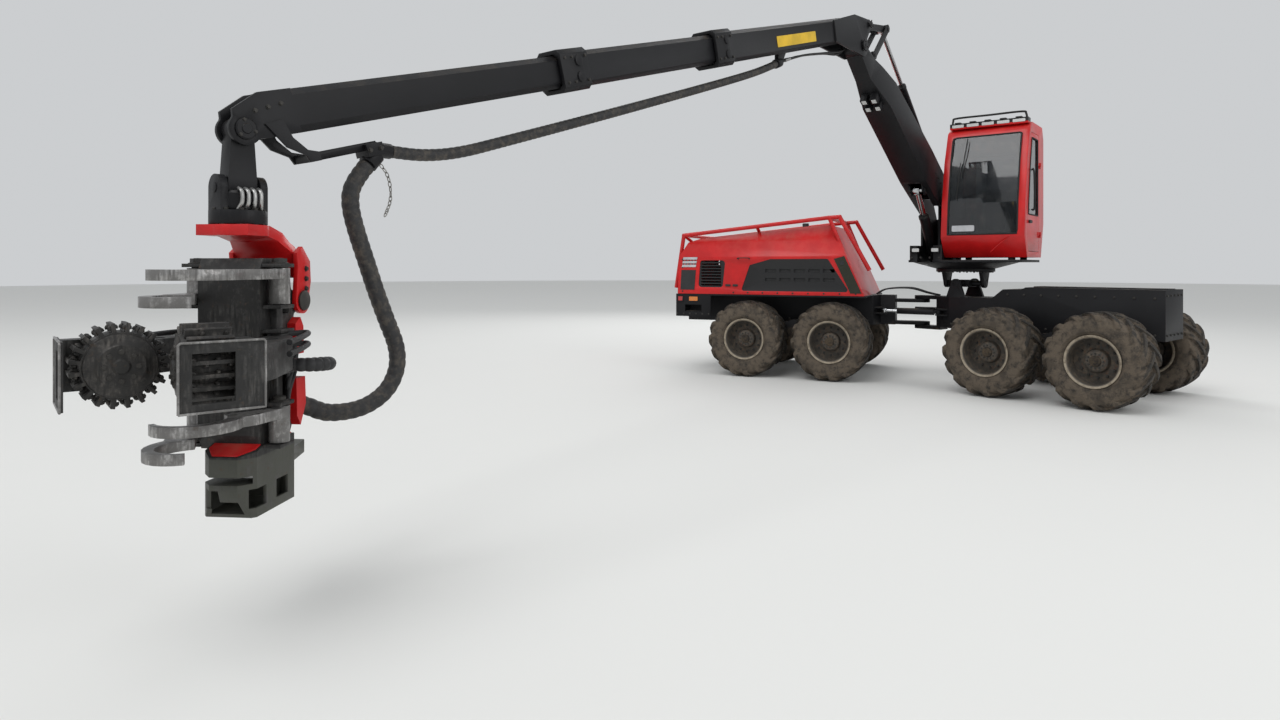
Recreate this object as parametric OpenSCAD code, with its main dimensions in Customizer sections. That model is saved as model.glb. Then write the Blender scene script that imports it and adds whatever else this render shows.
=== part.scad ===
// Forestry harvester: eight wheels, centre-hinged frame, levelled turntable with cab and crane.
// Millimetres. Origin on the ground below the slewing axis, +X forward on the front frame, +Y left.

/* [Wheels] */
// Outer diameter of a tyre over its lugs
tyre_d = 1345; // [1200:5:1450]
// Width of a tyre
tyre_w = 710; // [600:10:780]
// Height of a lug above the carcass
lug_h = 45; // [25:1:60]
// Thickness of a lug along the tread
lug_t = 62; // [40:1:80]
// Number of lug pairs round a tyre
lug_pairs = 15; // [12:1:18]
// Wall thickness of a tyre
tyre_wall = 34; // [20:1:50]
// Diameter over the lip of a rim
rim_d = 730; // [680:5:780]
// Width over the two lips of a rim
rim_w = 620; // [560:5:680]
// Thickness of a rim's barrel
rim_wall = 14; // [8:1:24]
// Distance of a rim's disc outward from the middle of the tyre
disc_out = 70; // [0:5:140]
// Diameter of a wheel hub
hub_d = 300; // [240:5:360]
// Overall width over the tyres
wheels_w = 2960; // [2800:10:3200]

/* [Axles] */
// Distance between the two wheels of a bogie
bogie_base = 1500; // [1440:10:1600]
// Diameter of a wheel spindle
spindle_d = 190; // [140:2:230]
// Thickness of a bogie case
case_t = 180; // [120:5:210]
// Gap between a bogie case and the tyre
case_gap = 50; // [20:5:80]
// Diameter of an axle beam
beam_d = 250; // [180:5:300]
// Height of an axle beam above the wheel centres
beam_up = 95; // [60:5:140]

/* [Frames] */
// Distance of the steering hinge behind the slewing axis
hinge_back = 800; // [700:10:900]
// Distance of the front axle ahead of the slewing axis
front_axle_x = 1750; // [1700:10:1900]
// Distance of the rear axle behind the steering hinge
rear_axle_back = 2150; // [2100:10:2300]
// Angle of the rear frame as it stands
steer_rest = 25; // [0:1:35]
// Width of the main frame beams
frame_w = 800; // [700:10:860]
// Underside of the main frames
frame_lo = 920; // [900:5:960]
// Top of the frames at the turntable and the engine
frame_hi = 1450; // [1400:5:1480]
// Thickness of the frame plates
frame_wall = 20; // [12:1:40]
// Front end of the front frame
nose_x = 3080; // [2900:10:3300]
// Top of the raised front box
nose_hi = 1640; // [1550:5:1700]
// Diameter of the steering hinge pin
hinge_pin_d = 120; // [80:2:160]

/* [Hood] */
// Thickness of the hood's shell
hood_wall = 14; // [8:1:30]

/* [Turntable] */
// Height of the levelling pivots
level_z = 1680; // [1660:5:1720]
// Diameter of a levelling pivot pin
level_pin_d = 100; // [60:2:120]
// Distance of the levelling ears from the slewing axis
ear_out = 330; // [300:5:360]
// Thickness of a levelling ear
ear_t = 60; // [40:2:80]
// Underside of the slewing ring above the levelling pivots
ring_up = 200; // [190:5:230]
// Diameter of the slewing ring
ring_d = 940; // [860:10:1000]
// Height of the slewing ring
ring_h = 50; // [40:2:70]
// Direction of the crane from straight ahead, anticlockwise
slew_rest = -79; // [-180:1:180]
// Height of the turntable deck
deck_z = 2080; // [2060:5:2100]

/* [Cab] */
// Right side of the cab from the slewing axis
cab_right = -260; // [-300:5:-200]
// Width of the cab
cab_w = 1300; // [1200:10:1400]
// Underside of the cab
cab_z = 2120; // [2110:5:2140]
// Height of the cab
cab_h = 2230; // [2100:10:2400]
// Rear wall of the cab behind the slewing axis
cab_back = 900; // [800:10:1000]
// Furthest point of the cab ahead of the slewing axis
cab_front = 500; // [450:10:560]
// Thickness of a cab wall
cab_wall = 36; // [24:2:60]
// Thickness of a window pane
pane_t = 14; // [8:1:20]
// Gap round the door
door_gap = 7; // [6:1:12]

/* [Crane] */
// Crane plane from the slewing axis, to the left
crane_y = -550; // [-600:5:-500]
// Boom foot pivot behind the slewing axis
foot_back = 350; // [300:10:400]
// Height of the boom foot pivot
foot_z = 2950; // [2900:10:3000]
// Length of the main boom between its pivots
boom_l = 4356; // [4200:10:4500]
// Angle of the main boom above the horizontal
boom_rest = 29.3; // [20:0.1:40]
// Width of the main boom
boom_w = 430; // [380:5:460]
// Width of the main boom's tongue at the elbow
tongue_w = 230; // [180:5:260]
// Wall thickness of the main boom
boom_wall = 10; // [6:1:16]
// Angle of the outer boom below the horizontal
outer_rest = 16.5; // [10:0.1:25]
// Centre line of the outer boom above the elbow pivot
outer_up = 250; // [230:5:280]
// Length of the outer boom from elbow to its collar
outer_l = 3900; // [3700:10:4100]
// Height of the outer boom
outer_h = 330; // [300:5:360]
// Width of the outer boom
outer_w = 250; // [220:5:280]
// Wall thickness of the telescopic booms
tele_wall = 8; // [5:1:12]
// Gap between one telescopic boom and the next
tele_gap = 10; // [6:1:16]
// Travel of one telescopic boom that shows at rest
tele_rest = 2350; // [1500:10:2600]
// Length of a telescopic boom's tube
tele_l = 3680; // [3500:10:3900]
// Diameter of the crane's main pins
pin_d = 90; // [60:2:110]

/* [Head] */
// Angle of the harvester head about the rotator
head_turn = 33; // [0:1:60]
// Height of the tip pin above the bottom of the saw box
head_drop = 2200; // [2150:10:2300]
// Distance of the trunk axis ahead of the rotator axis
trunk_x = 400; // [380:5:420]
// Diameter of a feed roller over its spikes
roller_d = 410; // [380:5:440]
// Width of a feed roller
roller_w = 200; // [160:5:220]
// Number of rib rows round a feed roller
roller_ribs = 20; // [16:1:24]
// Width of the head's frame
head_w = 360; // [320:5:400]
// Length of the saw bar
bar_l = 600; // [560:10:640]

/* [Hidden] */
$fn = 48;
fit = 0.3;
e = 1;

wheel_r = tyre_d / 2;
wheel_y = (wheels_w - tyre_w) / 2;
carcass_r = wheel_r - lug_h;
rim_r = rim_d / 2;
barrel_r = rim_r - 30;
case_out = wheel_y - tyre_w / 2 - case_gap;
case_in = case_out - case_t;
beam_z = wheel_r + beam_up;
spindle_end = disc_out - 10;
hub_in = disc_out - 130;

crane_red = [0.8, 0.07, 0.07];
steel_black = [0.09, 0.09, 0.1];

// Wheel stations: name, frame (1 front, -1 rear), side (1 left, -1 right), end (1 ahead, -1 behind)
STATIONS = [
    ["fr1", 1, -1, -1], ["fr2", 1, -1, 1], ["fl1", 1, 1, -1], ["fl2", 1, 1, 1],
    ["rr1", -1, -1, 1], ["rr2", -1, -1, -1], ["rl1", -1, 1, 1], ["rl2", -1, 1, -1]
];

// Places

module rear_place() translate([-hinge_back, 0, 0]) rotate(steer_rest) children();
module slew_place() rotate(slew_rest) children();
module crane_place() slew_place() translate([0, crane_y, 0]) children();
module boom_place() crane_place() translate([-foot_back, 0, foot_z]) rotate([0, -boom_rest, 0]) children();
elbow_x = -foot_back + boom_l * cos(boom_rest);
elbow_z = foot_z + boom_l * sin(boom_rest);
module outer_place() crane_place() translate([elbow_x, 0, elbow_z]) rotate([0, outer_rest, 0]) children();
tip_along = outer_l + 2 * tele_rest + 260;
tip_x = elbow_x + tip_along * cos(outer_rest) + (outer_up - 60) * sin(outer_rest);
tip_z = elbow_z - tip_along * sin(outer_rest) + (outer_up - 60) * cos(outer_rest);
head_z = tip_z - head_drop;
module tip_place() crane_place() translate([tip_x, 0, tip_z]) children();
module head_place() crane_place() translate([tip_x, 0, head_z]) rotate(head_turn) children();

module wheel_place(station) {
    s = STATIONS[station];
    if (s[1] > 0)
        translate([front_axle_x + s[3] * bogie_base / 2, s[2] * wheel_y, wheel_r]) rotate([-90 * s[2], 0, 0]) children();
    else
        rear_place() translate([-rear_axle_back + s[3] * bogie_base / 2, s[2] * wheel_y, wheel_r])
            rotate([-90 * s[2], 0, 0]) children();
}

// Profile in the X-Z plane, extruded across Y and centred
module side_plate(t, y = 0) translate([0, y + t / 2, 0]) rotate([90, 0, 0]) linear_extrude(t) children();
// Cylinder lying along Y, centred
module y_pin(d, l, x = 0, z = 0, y = 0) translate([x, y, z]) rotate([90, 0, 0]) cylinder(d = d, h = l, center = true);
// Cylinder lying along X, centred
module x_pin(d, l, x = 0, y = 0, z = 0) translate([x, y, z]) rotate([0, 90, 0]) cylinder(d = d, h = l, center = true);
// Straight tube between two points
module rod(a, b, d) {
    v = b - a;
    translate(a) rotate([0, acos(v.z / norm(v)), atan2(v.y, v.x)]) cylinder(d = d, h = norm(v));
}
// Bent tube: straight lengths between points with a ball at each bend
module pipe(path, d) {
    for (i = [0:len(path) - 2]) rod(path[i], path[i + 1], d);
    for (i = [1:len(path) - 2]) translate(path[i]) sphere(d = d + 6);
}

// Wheels

// Tyre section: share of the carcass height, share of the half width
TYRE_ROWS = [[0, 0.82], [0.11, 0.82], [0.28, 0.97], [0.58, 1], [0.84, 0.95], [0.96, 0.8], [1, 0.4]];
function tyre_line(r0, r1, w) = [for (row = TYRE_ROWS) [r0 + (r1 - r0) * row[0], row[1] * w / 2]];
function flip(line) = [for (i = [len(line) - 1:-1:0]) [line[i].x, -line[i].y]];

module tyre() {
    outer = tyre_line(barrel_r + fit, carcass_r, tyre_w);
    inner = tyre_line(barrel_r + fit, carcass_r - tyre_wall, tyre_w - 2 * tyre_wall);
    color([0.17, 0.16, 0.15]) {
        rotate_extrude($fn = 64) polygon(concat(outer, flip(outer), [for (p = inner) [p.x, -p.y]], flip([for (p = inner) [p.x, -p.y]])));
        intersection() {
            rotate_extrude($fn = 64) {
                top = tyre_line(rim_r + 120, wheel_r, tyre_w - 10);
                low = tyre_line(rim_r + 100, carcass_r - tyre_wall / 2, tyre_w - tyre_wall);
                polygon(concat(top, flip(top), [for (p = low) [p.x, -p.y]], flip([for (p = low) [p.x, -p.y]])));
            }
            for (i = [0:lug_pairs - 1], side = [-1, 1]) lug(360 / lug_pairs * (i + (side > 0 ? 0.5 : 0)), side);
        }
    }
}
module lug(a, side) {
    rotate(a) rotate([side * 38, 0, 0]) translate([carcass_r - 130, -lug_t / 2, side > 0 ? -20 : -480])
        cube([220, lug_t, 500]);
}

module rim() {
    half = rim_w / 2;
    color([0.55, 0.5, 0.43]) difference() {
        rotate_extrude($fn = 64) polygon([
            [spindle_d / 2 + fit, hub_in], [hub_d / 2, hub_in], [hub_d / 2, disc_out - 24], [barrel_r - rim_wall, disc_out - 24],
            [barrel_r - rim_wall, -half + 20], [rim_r - 12, -half], [rim_r, -half], [rim_r, -half + 18], [barrel_r, -half + 18],
            [barrel_r, half - 18], [rim_r, half - 18], [rim_r, half], [rim_r - 12, half], [barrel_r - rim_wall, half - 20],
            [barrel_r - rim_wall, disc_out], [hub_d / 2 + 20, disc_out + 24], [hub_d / 2, disc_out + 90],
            [hub_d / 2 - 30, disc_out + 110], [0, disc_out + 110], [0, spindle_end + 5], [spindle_d / 2 + fit, spindle_end + 5]
        ]);
    }
}

// Axles

module axle() color(steel_black) {
    translate([0, 0, beam_z]) y_pin(beam_d, 2 * case_in + 40);
    translate([0, 0, beam_z]) sphere(d = beam_d + 50);
    translate([-170, -260, beam_z]) cube([340, 520, frame_lo - beam_z - fit]);
    for (side = [-1, 1]) {
        side_plate(case_t, side * (case_in + case_t / 2)) bogie_case();
        for (end = [-1, 1]) translate([end * bogie_base / 2, 0, wheel_r]) {
            y_pin(hub_d, 60, 0, 0, side * (case_out + 30));
            y_pin(spindle_d, wheel_y + spindle_end - case_out, 0, 0, side * (case_out + wheel_y + spindle_end) / 2);
        }
    }
}
module bogie_case() {
    half = bogie_base / 2;
    offset(-60) offset(60) union() {
        for (end = [-1, 1]) translate([end * half, wheel_r]) circle(r = 200);
        translate([0, beam_z]) circle(r = 230);
        polygon([[-half, wheel_r - 150], [half, wheel_r - 150], [half, wheel_r + 170],
            [180, beam_z + 190], [-180, beam_z + 190], [-half, wheel_r + 170]]);
    }
}

// Front frame

module front_plan() polygon([[-450, -150], [-60, -frame_w / 2], [nose_x, -frame_w / 2], [nose_x, frame_w / 2],
    [-60, frame_w / 2], [-450, 150]]);

module box_beam(lo, hi) difference() {
    translate([0, 0, lo]) linear_extrude(hi - lo) children();
    translate([0, 0, lo + frame_wall]) linear_extrude(hi - lo - 2 * frame_wall) offset(delta = -frame_wall) children();
}

module front_frame() color(steel_black) {
    box_beam(frame_lo, frame_hi) front_plan();
    // raised box ahead of the turntable
    difference() {
        side_plate(frame_w) polygon([[640, frame_hi - e], [820, nose_hi - 40], [1100, nose_hi - 40], [1180, nose_hi],
            [nose_x, nose_hi], [nose_x, frame_hi - e]]);
        side_plate(frame_w - 2 * frame_wall) polygon([[700, frame_hi], [850, nose_hi - 70], [1100, nose_hi - 70],
            [1180, nose_hi - 30], [nose_x - 20, nose_hi - 30], [nose_x - 20, frame_hi]]);
    }
    // steering fork
    for (z = [frame_lo - 60, frame_hi - 60]) difference() {
        union() {
            translate([-hinge_back, 0, z]) cylinder(d = 260, h = 60);
            translate([-hinge_back, -130, z]) cube([hinge_back - 400, 260, 60]);
            translate([-450, -130, z]) cube([60, 260, 61]);
        }
        translate([-hinge_back, 0, z - e]) cylinder(d = hinge_pin_d + 2 * fit, h = 60 + 2 * e);
    }
    // levelling pedestal
    for (side = [-1, 1]) difference() {
        side_plate(ear_t, side * ear_out) union() {
            translate([0, level_z]) circle(d = 160);
            polygon([[-160, frame_hi - e], [160, frame_hi - e], [80, level_z], [-80, level_z]]);
        }
        y_pin(level_pin_d + 2 * fit, ear_t + 2 * e, 0, level_z, side * ear_out);
    }
    steer_ears(1);
}

// Steering cylinders: anchor on the front frame, anchor on the rear frame, distance from the middle
steer_front_x = -330;
steer_rear_x = -620;
steer_y = 300;
steer_z = 1180;
steer_barrel_l = 700;
steer_rod_l = 680;
module steer_ears(which) {
    x0 = which > 0 ? steer_front_x : steer_rear_x;
    for (side = [-1, 1]) translate([x0, side * steer_y, steer_z]) {
        for (dz = [-62, 38]) translate([0, 0, dz]) {
            cylinder(d = 110, h = 24);
            translate([which > 0 ? 0 : -190, side > 0 ? -110 : -55, 0]) cube([190, 165, 24]);
        }
        if (which > 0) translate([0, 0, -50]) cylinder(d = 50, h = 100);
        else for (dz = [-72, 62 - e]) translate([0, 0, dz]) cylinder(d = 74, h = 10 + e);
    }
}

// Rear frame, in the rear frame's own place

rear_end = -4330;
deck_w = 2160;
bumper_lo = 1030;
bumper_l = 690;
tow_x = rear_end - 80;
tow_d = 52;
hood_hinge = [rear_end - 40, frame_hi + 50];
module rear_plan() polygon([[-450, -150], [-700, -150], [-800, -frame_w / 2], [rear_end, -frame_w / 2],
    [rear_end, frame_w / 2], [-800, frame_w / 2], [-700, 150], [-450, 150]]);

module rear_frame() color(steel_black) rear_place() {
    box_beam(frame_lo, frame_hi) rear_plan();
    // hinge tongue and pin
    for (z = [frame_lo + 5, frame_hi - 125]) {
        translate([0, 0, z]) cylinder(d = 260, h = 60);
        translate([-500, -130, z]) cube([500, 260, 60]);
    }
    for (z = [frame_lo - 55, frame_hi - 125]) translate([0, 0, z]) cylinder(d = hinge_pin_d, h = 120);
    // side decks under the hood
    for (side = [-1, 1]) translate([rear_end, side > 0 ? frame_w / 2 - e : -deck_w / 2, frame_hi - 25])
        cube([3500, (deck_w - frame_w) / 2 + e, 25]);
    bumper();
    // towing lugs
    for (z = [1080, 1160]) translate([tow_x, 0, z]) difference() {
        union() {
            cylinder(d = 140, h = 30);
            translate([0, -70, 0]) cube([90, 140, 30]);
        }
        translate([0, 0, -e]) cylinder(d = tow_d, h = 30 + 2 * e);
    }
    // hinge ears of the hood
    for (side = [-1, 1]) {
        side_plate(30, side * 600) hinge_ear();
        y_pin(40, 130, hood_hinge.x, hood_hinge.y, side * 600);
    }
    steer_ears(-1);
}
// Rear bumper, an apron open below, with a step in each side and lamps
module bumper() {
    difference() {
        translate([rear_end, -deck_w / 2, bumper_lo]) cube([bumper_l, deck_w, frame_hi - bumper_lo]);
        translate([rear_end + 20, -deck_w / 2 + 20, bumper_lo - 20]) cube([bumper_l, deck_w - 40, frame_hi - bumper_lo]);
        for (side = [-1, 1]) translate([rear_end + 180, side * deck_w / 2 - 50, bumper_lo + 90]) cube([330, 100, 130]);
    }
    for (side = [-1, 1]) {
        translate([rear_end - 14, side * (deck_w / 2 - 130) - 75, frame_hi - 150]) cube([20, 150, 80]);
        translate([rear_end + 30, side * (deck_w / 2 + 4) - 10, frame_hi - 150]) cube([110, 20, 80]);
    }
}
module hinge_ear() {
    translate(hood_hinge) circle(r = 34);
    polygon([hood_hinge + [-34, 0], [rear_end, frame_hi - 60], [rear_end + 20, frame_hi - 60], [rear_end + 20, frame_hi - e],
        hood_hinge + [34, 0]]);
}

ENGINE = [1050, 640, 680];
module engine() color([0.3, 0.31, 0.32]) rear_place()
    translate([rear_end + 730, -ENGINE.y / 2, frame_hi + fit]) cube(ENGINE);

// Hood

hood_back = rear_end + 30;
hood_low = frame_hi + 5;
hood_w = 2160;
module hood_side() polygon([[hood_back, hood_low], [hood_back + 30, 2150], [hood_back + 170, 2420],
    [hood_back + 420, 2500], [-1600, 2720], [-1400, 2680], [-1180, 2180], [-860, hood_low]]);
module hood_section(w) polygon([[-w / 2, hood_low - e], [-w / 2, 2150], [-w / 2 + 130, 2420],
    [-w / 2 + 400, 2800], [w / 2 - 400, 2800], [w / 2 - 130, 2420], [w / 2, 2150], [w / 2, hood_low - e]]);
module hood_form(w, inset) intersection() {
    side_plate(w + 10) offset(delta = -inset) hood_side();
    translate([-5000, 0, 0]) rotate([90, 0, 90]) linear_extrude(5000) hood_section(w - 2 * inset);
}
module grille_shape() offset(60) polygon([[-3820, 1640], [-3790, 2020], [-3420, 2020], [-3460, 1640]]);
module vent_shape() offset(40) polygon([[-3000, 1560], [-2860, 1960], [-2500, 2060], [-1500, 2060], [-1180, 1560]]);
module hood() color(crane_red) rear_place() {
    difference() {
        union() {
            hood_form(hood_w, 0);
            for (side = [-1, 1]) side_plate(30, side * 640) {
                translate(hood_hinge) circle(r = 36);
                polygon([hood_hinge + [-20, 30], hood_hinge + [100, 130], hood_hinge + [100, 20], hood_hinge + [20, -30]]);
            }
        }
        for (side = [-1, 1]) y_pin(40 + 2 * fit, 60, hood_hinge.x, hood_hinge.y, side * 640);
        translate([0, 0, -20]) hood_form(hood_w, hood_wall);
        // openings of the grille and the side vents, and louvres behind the grille
        for (side = [-1, 1]) {
            side_plate(200, side * hood_w / 2) grille_shape();
            side_plate(200, side * hood_w / 2) vent_shape();
            for (x = [-4200:60:-3960]) translate([x, side * hood_w / 2 - 60, 1960]) cube([26, 120, 150]);
        }
    }
    // slotted panels behind the openings
    for (side = [-1, 1]) side_plate(12, side * (hood_w / 2 - hood_wall - 5)) {
        difference() {
            offset(30) grille_shape();
            for (z = [1610:55:2050]) translate([-3830, z]) square([390, 30]);
        }
        difference() {
            offset(30) vent_shape();
            for (x = [-2600:260:-1560], z = [1700, 1860]) translate([x, z]) square([200, 60]);
        }
    }
}
module guard_tubes() {
    for (side = [-1, 1]) {
        y = side * 930;
        pipe([[-4385, y, 1560], [-4230, y, 2560], [-1500, y, 2830], [-1300, y, 2840], [-790, y, 1900]], 75);
        pipe([[-1480, y, 2830], [-1080, y, 1850]], 70);
        rod([-4230, y, 2560], [-4150, side * 700, 2440], 60);
        rod([-2800, y, 2700], [-2800, side * 700, 2580], 60);
    }
    rod([-1500, -930, 2830], [-1500, 930, 2830], 75);
    rod([-4230, -930, 2560], [-4230, 930, 2560], 75);
}
module hood_guard() color(crane_red) rear_place() difference() {
    guard_tubes();
    hood_form(2160 + 2 * fit, -fit);
}

// Steering cylinders

module steer_cylinder(side, part) {
    a = [steer_front_x, side * steer_y, steer_z];
    c = cos(steer_rest);
    s = sin(steer_rest);
    b = [-hinge_back + steer_rear_x * c - side * steer_y * s, steer_rear_x * s + side * steer_y * c, steer_z];
    v = b - a;
    translate(a) rotate([0, 0, atan2(v.y, v.x)]) if (part == "barrel") {
        difference() {
            union() {
                translate([0, 0, -32]) cylinder(d = 100, h = 64);
                translate([0, -35, -30]) cube([90, 70, 60]);
                x_pin(110, steer_barrel_l - 75, (steer_barrel_l + 75) / 2);
            }
            translate([0, 0, -40]) cylinder(d = 50 + 2 * fit, h = 80);
            x_pin(50 + 2 * fit, steer_barrel_l - 100, 51 + steer_barrel_l / 2);
        }
    } else {
        difference() {
            union() {
                x_pin(50, steer_rod_l - 40, norm(v) - 20 - steer_rod_l / 2);
                translate([norm(v), 0, -32]) cylinder(d = 100, h = 64);
            }
            translate([norm(v), 0, -40]) cylinder(d = 50 + 2 * fit, h = 80);
        }
        // the eye's pin, between the ears
        translate([norm(v), 0, fit - 38]) cylinder(d = 50, h = 76 - 2 * fit);
    }
}

// Turntable

module level_cross() color(steel_black) translate([0, 0, level_z]) {
    translate([-130, -130, -60]) cube([260, 260, 120]);
    y_pin(level_pin_d, 2 * (ear_out + ear_t / 2));
    x_pin(level_pin_d, 2 * (ear_out + ear_t / 2));
}

module level_ring() color(steel_black) {
    difference() {
        translate([0, 0, level_z + ring_up]) cylinder(d = ring_d, h = ring_h);
        translate([0, 0, level_z + ring_up - e]) cylinder(d = 400 + 2 * fit, h = ring_h + 2 * e);
    }
    for (side = [-1, 1]) difference() {
        translate([side * ear_out - ear_t / 2, 0, 0]) rotate([90, 0, 90]) linear_extrude(ear_t) union() {
            translate([0, level_z]) circle(d = 150);
            polygon([[-75, level_z], [75, level_z], [140, level_z + ring_up + e], [-140, level_z + ring_up + e]]);
        }
        x_pin(level_pin_d + 2 * fit, ear_t + 2 * e, side * ear_out, 0, level_z);
    }
}

turn_z = level_z + ring_up + ring_h + 1;
module deck_plan() polygon([[-cab_back, cab_right + cab_w - 60], [-cab_back, -300], [-760, -830], [430, -830], [450, -260],
    [380, cab_right + cab_w - 60]]);
pillar_half = 165;
pillar_t = 30;
base_hi = 2330;
module turntable() color(steel_black) slew_place() difference() {
    union() {
        translate([0, 0, turn_z]) cylinder(d1 = ring_d, d2 = 1700, h = deck_z - 40 - turn_z);
        translate([0, 0, level_z + ring_up + 5]) cylinder(d = 400, h = turn_z - level_z - ring_up);
        translate([0, 0, deck_z - 40]) linear_extrude(40) deck_plan();
        // crane base
        translate([-700, -815, deck_z - e]) cube([1110, 545, base_hi - deck_z]);
        for (y = [-790, -460]) translate([400, y, base_hi - 130]) difference() {
            cube([40, 160, 100]);
            translate([25, 15, 15]) cube([20, 130, 70]);
        }
        // pillar plates beside the lift cylinder
        for (side = [-1, 1]) side_plate(pillar_t, crane_y + side * (pillar_half - pillar_t / 2)) union() {
            polygon([[-680, base_hi - 2 * e], [140, base_hi - 2 * e], [140, foot_z + 180], [60, foot_z + 210],
                [-420, foot_z + 210], [-640, foot_z - 100]]);
        }
        y_pin(pin_d, 2 * pillar_half + 90, -foot_back, foot_z, crane_y);
        // cab feet
        for (x = [-600, 220], y = [cab_right + 150, cab_right + cab_w - 250]) translate([x, y, deck_z - e])
            cylinder(d = 110, h = cab_z - deck_z + e - fit);
        y_pin(ram_pin(170), 2 * pillar_half - 20, lift_low.x, lift_low.y, crane_y);
        translate([-680, crane_y - pillar_half + 10, base_hi - e]) cube([40, 2 * pillar_half - 20, 500]);
    }
    // well for the lift cylinder
    translate([-420, crane_y - pillar_half + pillar_t, 1990]) cube([900, 2 * (pillar_half - pillar_t), base_hi]);
}

// Main boom, X along the boom from the foot

function lift_at(a) = [-foot_back, foot_z] + rot2(lift_eye, a);
lift_low = [-120, 2080];
lift_eye = [1150, -300];
lift_high = lift_at(boom_rest);
lift_ear_y = 108;
lift_ear_t = 24;
tongue_l = 500;
module boom_side() offset(40) offset(-40) union() {
    circle(r = 230);
    translate([boom_l, 0]) circle(r = 130);
    polygon([[-60, 215], [700, 330], [1400, 330], [boom_l - 700, 210], [boom_l - 60, 110], [boom_l - 60, -110],
        [boom_l - 500, -190], [1400, -300], [600, -260], [-60, -220]]);
}
module main_boom() color(steel_black) boom_place() {
    difference() {
        intersection() {
            side_plate(boom_w) boom_side();
            translate([0, 0, -800]) linear_extrude(1600) polygon([[-400, -boom_w / 2], [boom_l - 1100, -boom_w / 2],
                [boom_l - tongue_l, -tongue_w / 2], [boom_l + 300, -tongue_w / 2], [boom_l + 300, tongue_w / 2],
                [boom_l - tongue_l, tongue_w / 2], [boom_l - 1100, boom_w / 2], [-400, boom_w / 2]]);
        }
        // hollow box
        intersection() {
            translate([630, 0, 0]) cube([2 * (boom_l - 1200 - 630), boom_w - 2 * boom_wall, 2000], center = true);
            translate([1, 0, 0]) side_plate(boom_w) intersection() {
                offset(-boom_wall) boom_side();
                translate([640, -500]) square([boom_l - 1300, 1000]);
            }
        }
        intersection() {
            translate([boom_l - 1250, -tongue_w / 2 + boom_wall, -500]) cube([1000, tongue_w - 2 * boom_wall, 1000]);
            translate([1, 0, 0]) side_plate(boom_w) offset(-boom_wall) boom_side();
        }
        // fork round the pillar
        translate([-400, -pillar_half - 6, -800]) cube([400 + 590, 2 * pillar_half + 12, 1600]);
        y_pin(pin_d + 2 * fit, boom_w + 2, 0, 0);
        y_pin(pin_d + 2 * fit, boom_w + 2, boom_l, 0);
        // slot for the lift cylinder's eye
        translate([540, 2 - lift_ear_y, -700]) cube([800, 2 * lift_ear_y - 4, 590]);
    }
    // ears of the lift cylinder, the jib cylinder and the jib link
    for (side = [-1, 1]) {
        side_plate(lift_ear_t, side * lift_ear_y) lift_ear();
        y_pin(100, 14, lift_eye.x, lift_eye.y, side * (lift_ear_y + lift_ear_t / 2 + 6));
        side_plate(24, side * 86) jib_ear(jib_foot, 200);
        side_plate(24, side * 70) jib_ear(link_foot, 100);
    }
    y_pin(ram_pin(120), 190, jib_foot.x, jib_foot.y);
    y_pin(50, 235, link_foot.x, link_foot.y);
    // lamps under the boom
    for (x = [boom_l - 1050, boom_l - 880], y = [-125, 25]) translate([x, y, -330]) difference() {
        cube([110, 100, 140]);
        translate([12, 12, -e]) cube([86, 76, 13]);
    }
}
jib_foot = [620, 430];
link_foot = [boom_l - 463, 237];
module lift_ear() polygon([[lift_eye.x - 70, lift_eye.y - 60], [lift_eye.x + 60, lift_eye.y - 60], [lift_eye.x + 160, -190],
    [lift_eye.x - 220, -190]]);
module jib_ear(p, h) {
    translate(p) circle(r = 60);
    polygon([[p.x - 60, p.y], [p.x + 60, p.y], [p.x + 110, p.y - h], [p.x - 110, p.y - h]]);
}

// Hydraulic cylinder in the crane plane between two points, its rod's pin as long as the gap between the ears
function ram_pin(d) = d * 0.42;
module ram(a, b, d, barrel_l, rod_l, ear_gap, part) {
    v = b - a;
    near = d * 0.3;
    translate([a.x, 0, a.y]) rotate([0, -atan2(v.y, v.x), 0]) if (part == "barrel") difference() {
        union() {
            y_pin(d * 0.9, 88);
            x_pin(d, barrel_l - near, (barrel_l + near) / 2);
            x_pin(d + 10, 50, barrel_l - 25);
        }
        y_pin(ram_pin(d) + 2 * fit, d + 10);
        x_pin(d * 0.55 + 2 * fit, barrel_l - d * 0.5, (barrel_l + d * 0.5) / 2 + e);
    } else {
        difference() {
            union() {
                x_pin(d * 0.55, rod_l - near, norm(v) - (rod_l + near) / 2);
                y_pin(d * 0.9, 88, norm(v));
            }
            y_pin(ram_pin(d) + 2 * fit, 100, norm(v));
        }
        y_pin(ram_pin(d), ear_gap - 2 * fit, norm(v));
    }
}
module lift_cyl(part) crane_place() ram(lift_low, lift_high, 170, 965, 972, 2 * lift_ear_y - lift_ear_t, part);

// Outer boom, X along the boom from the elbow

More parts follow.
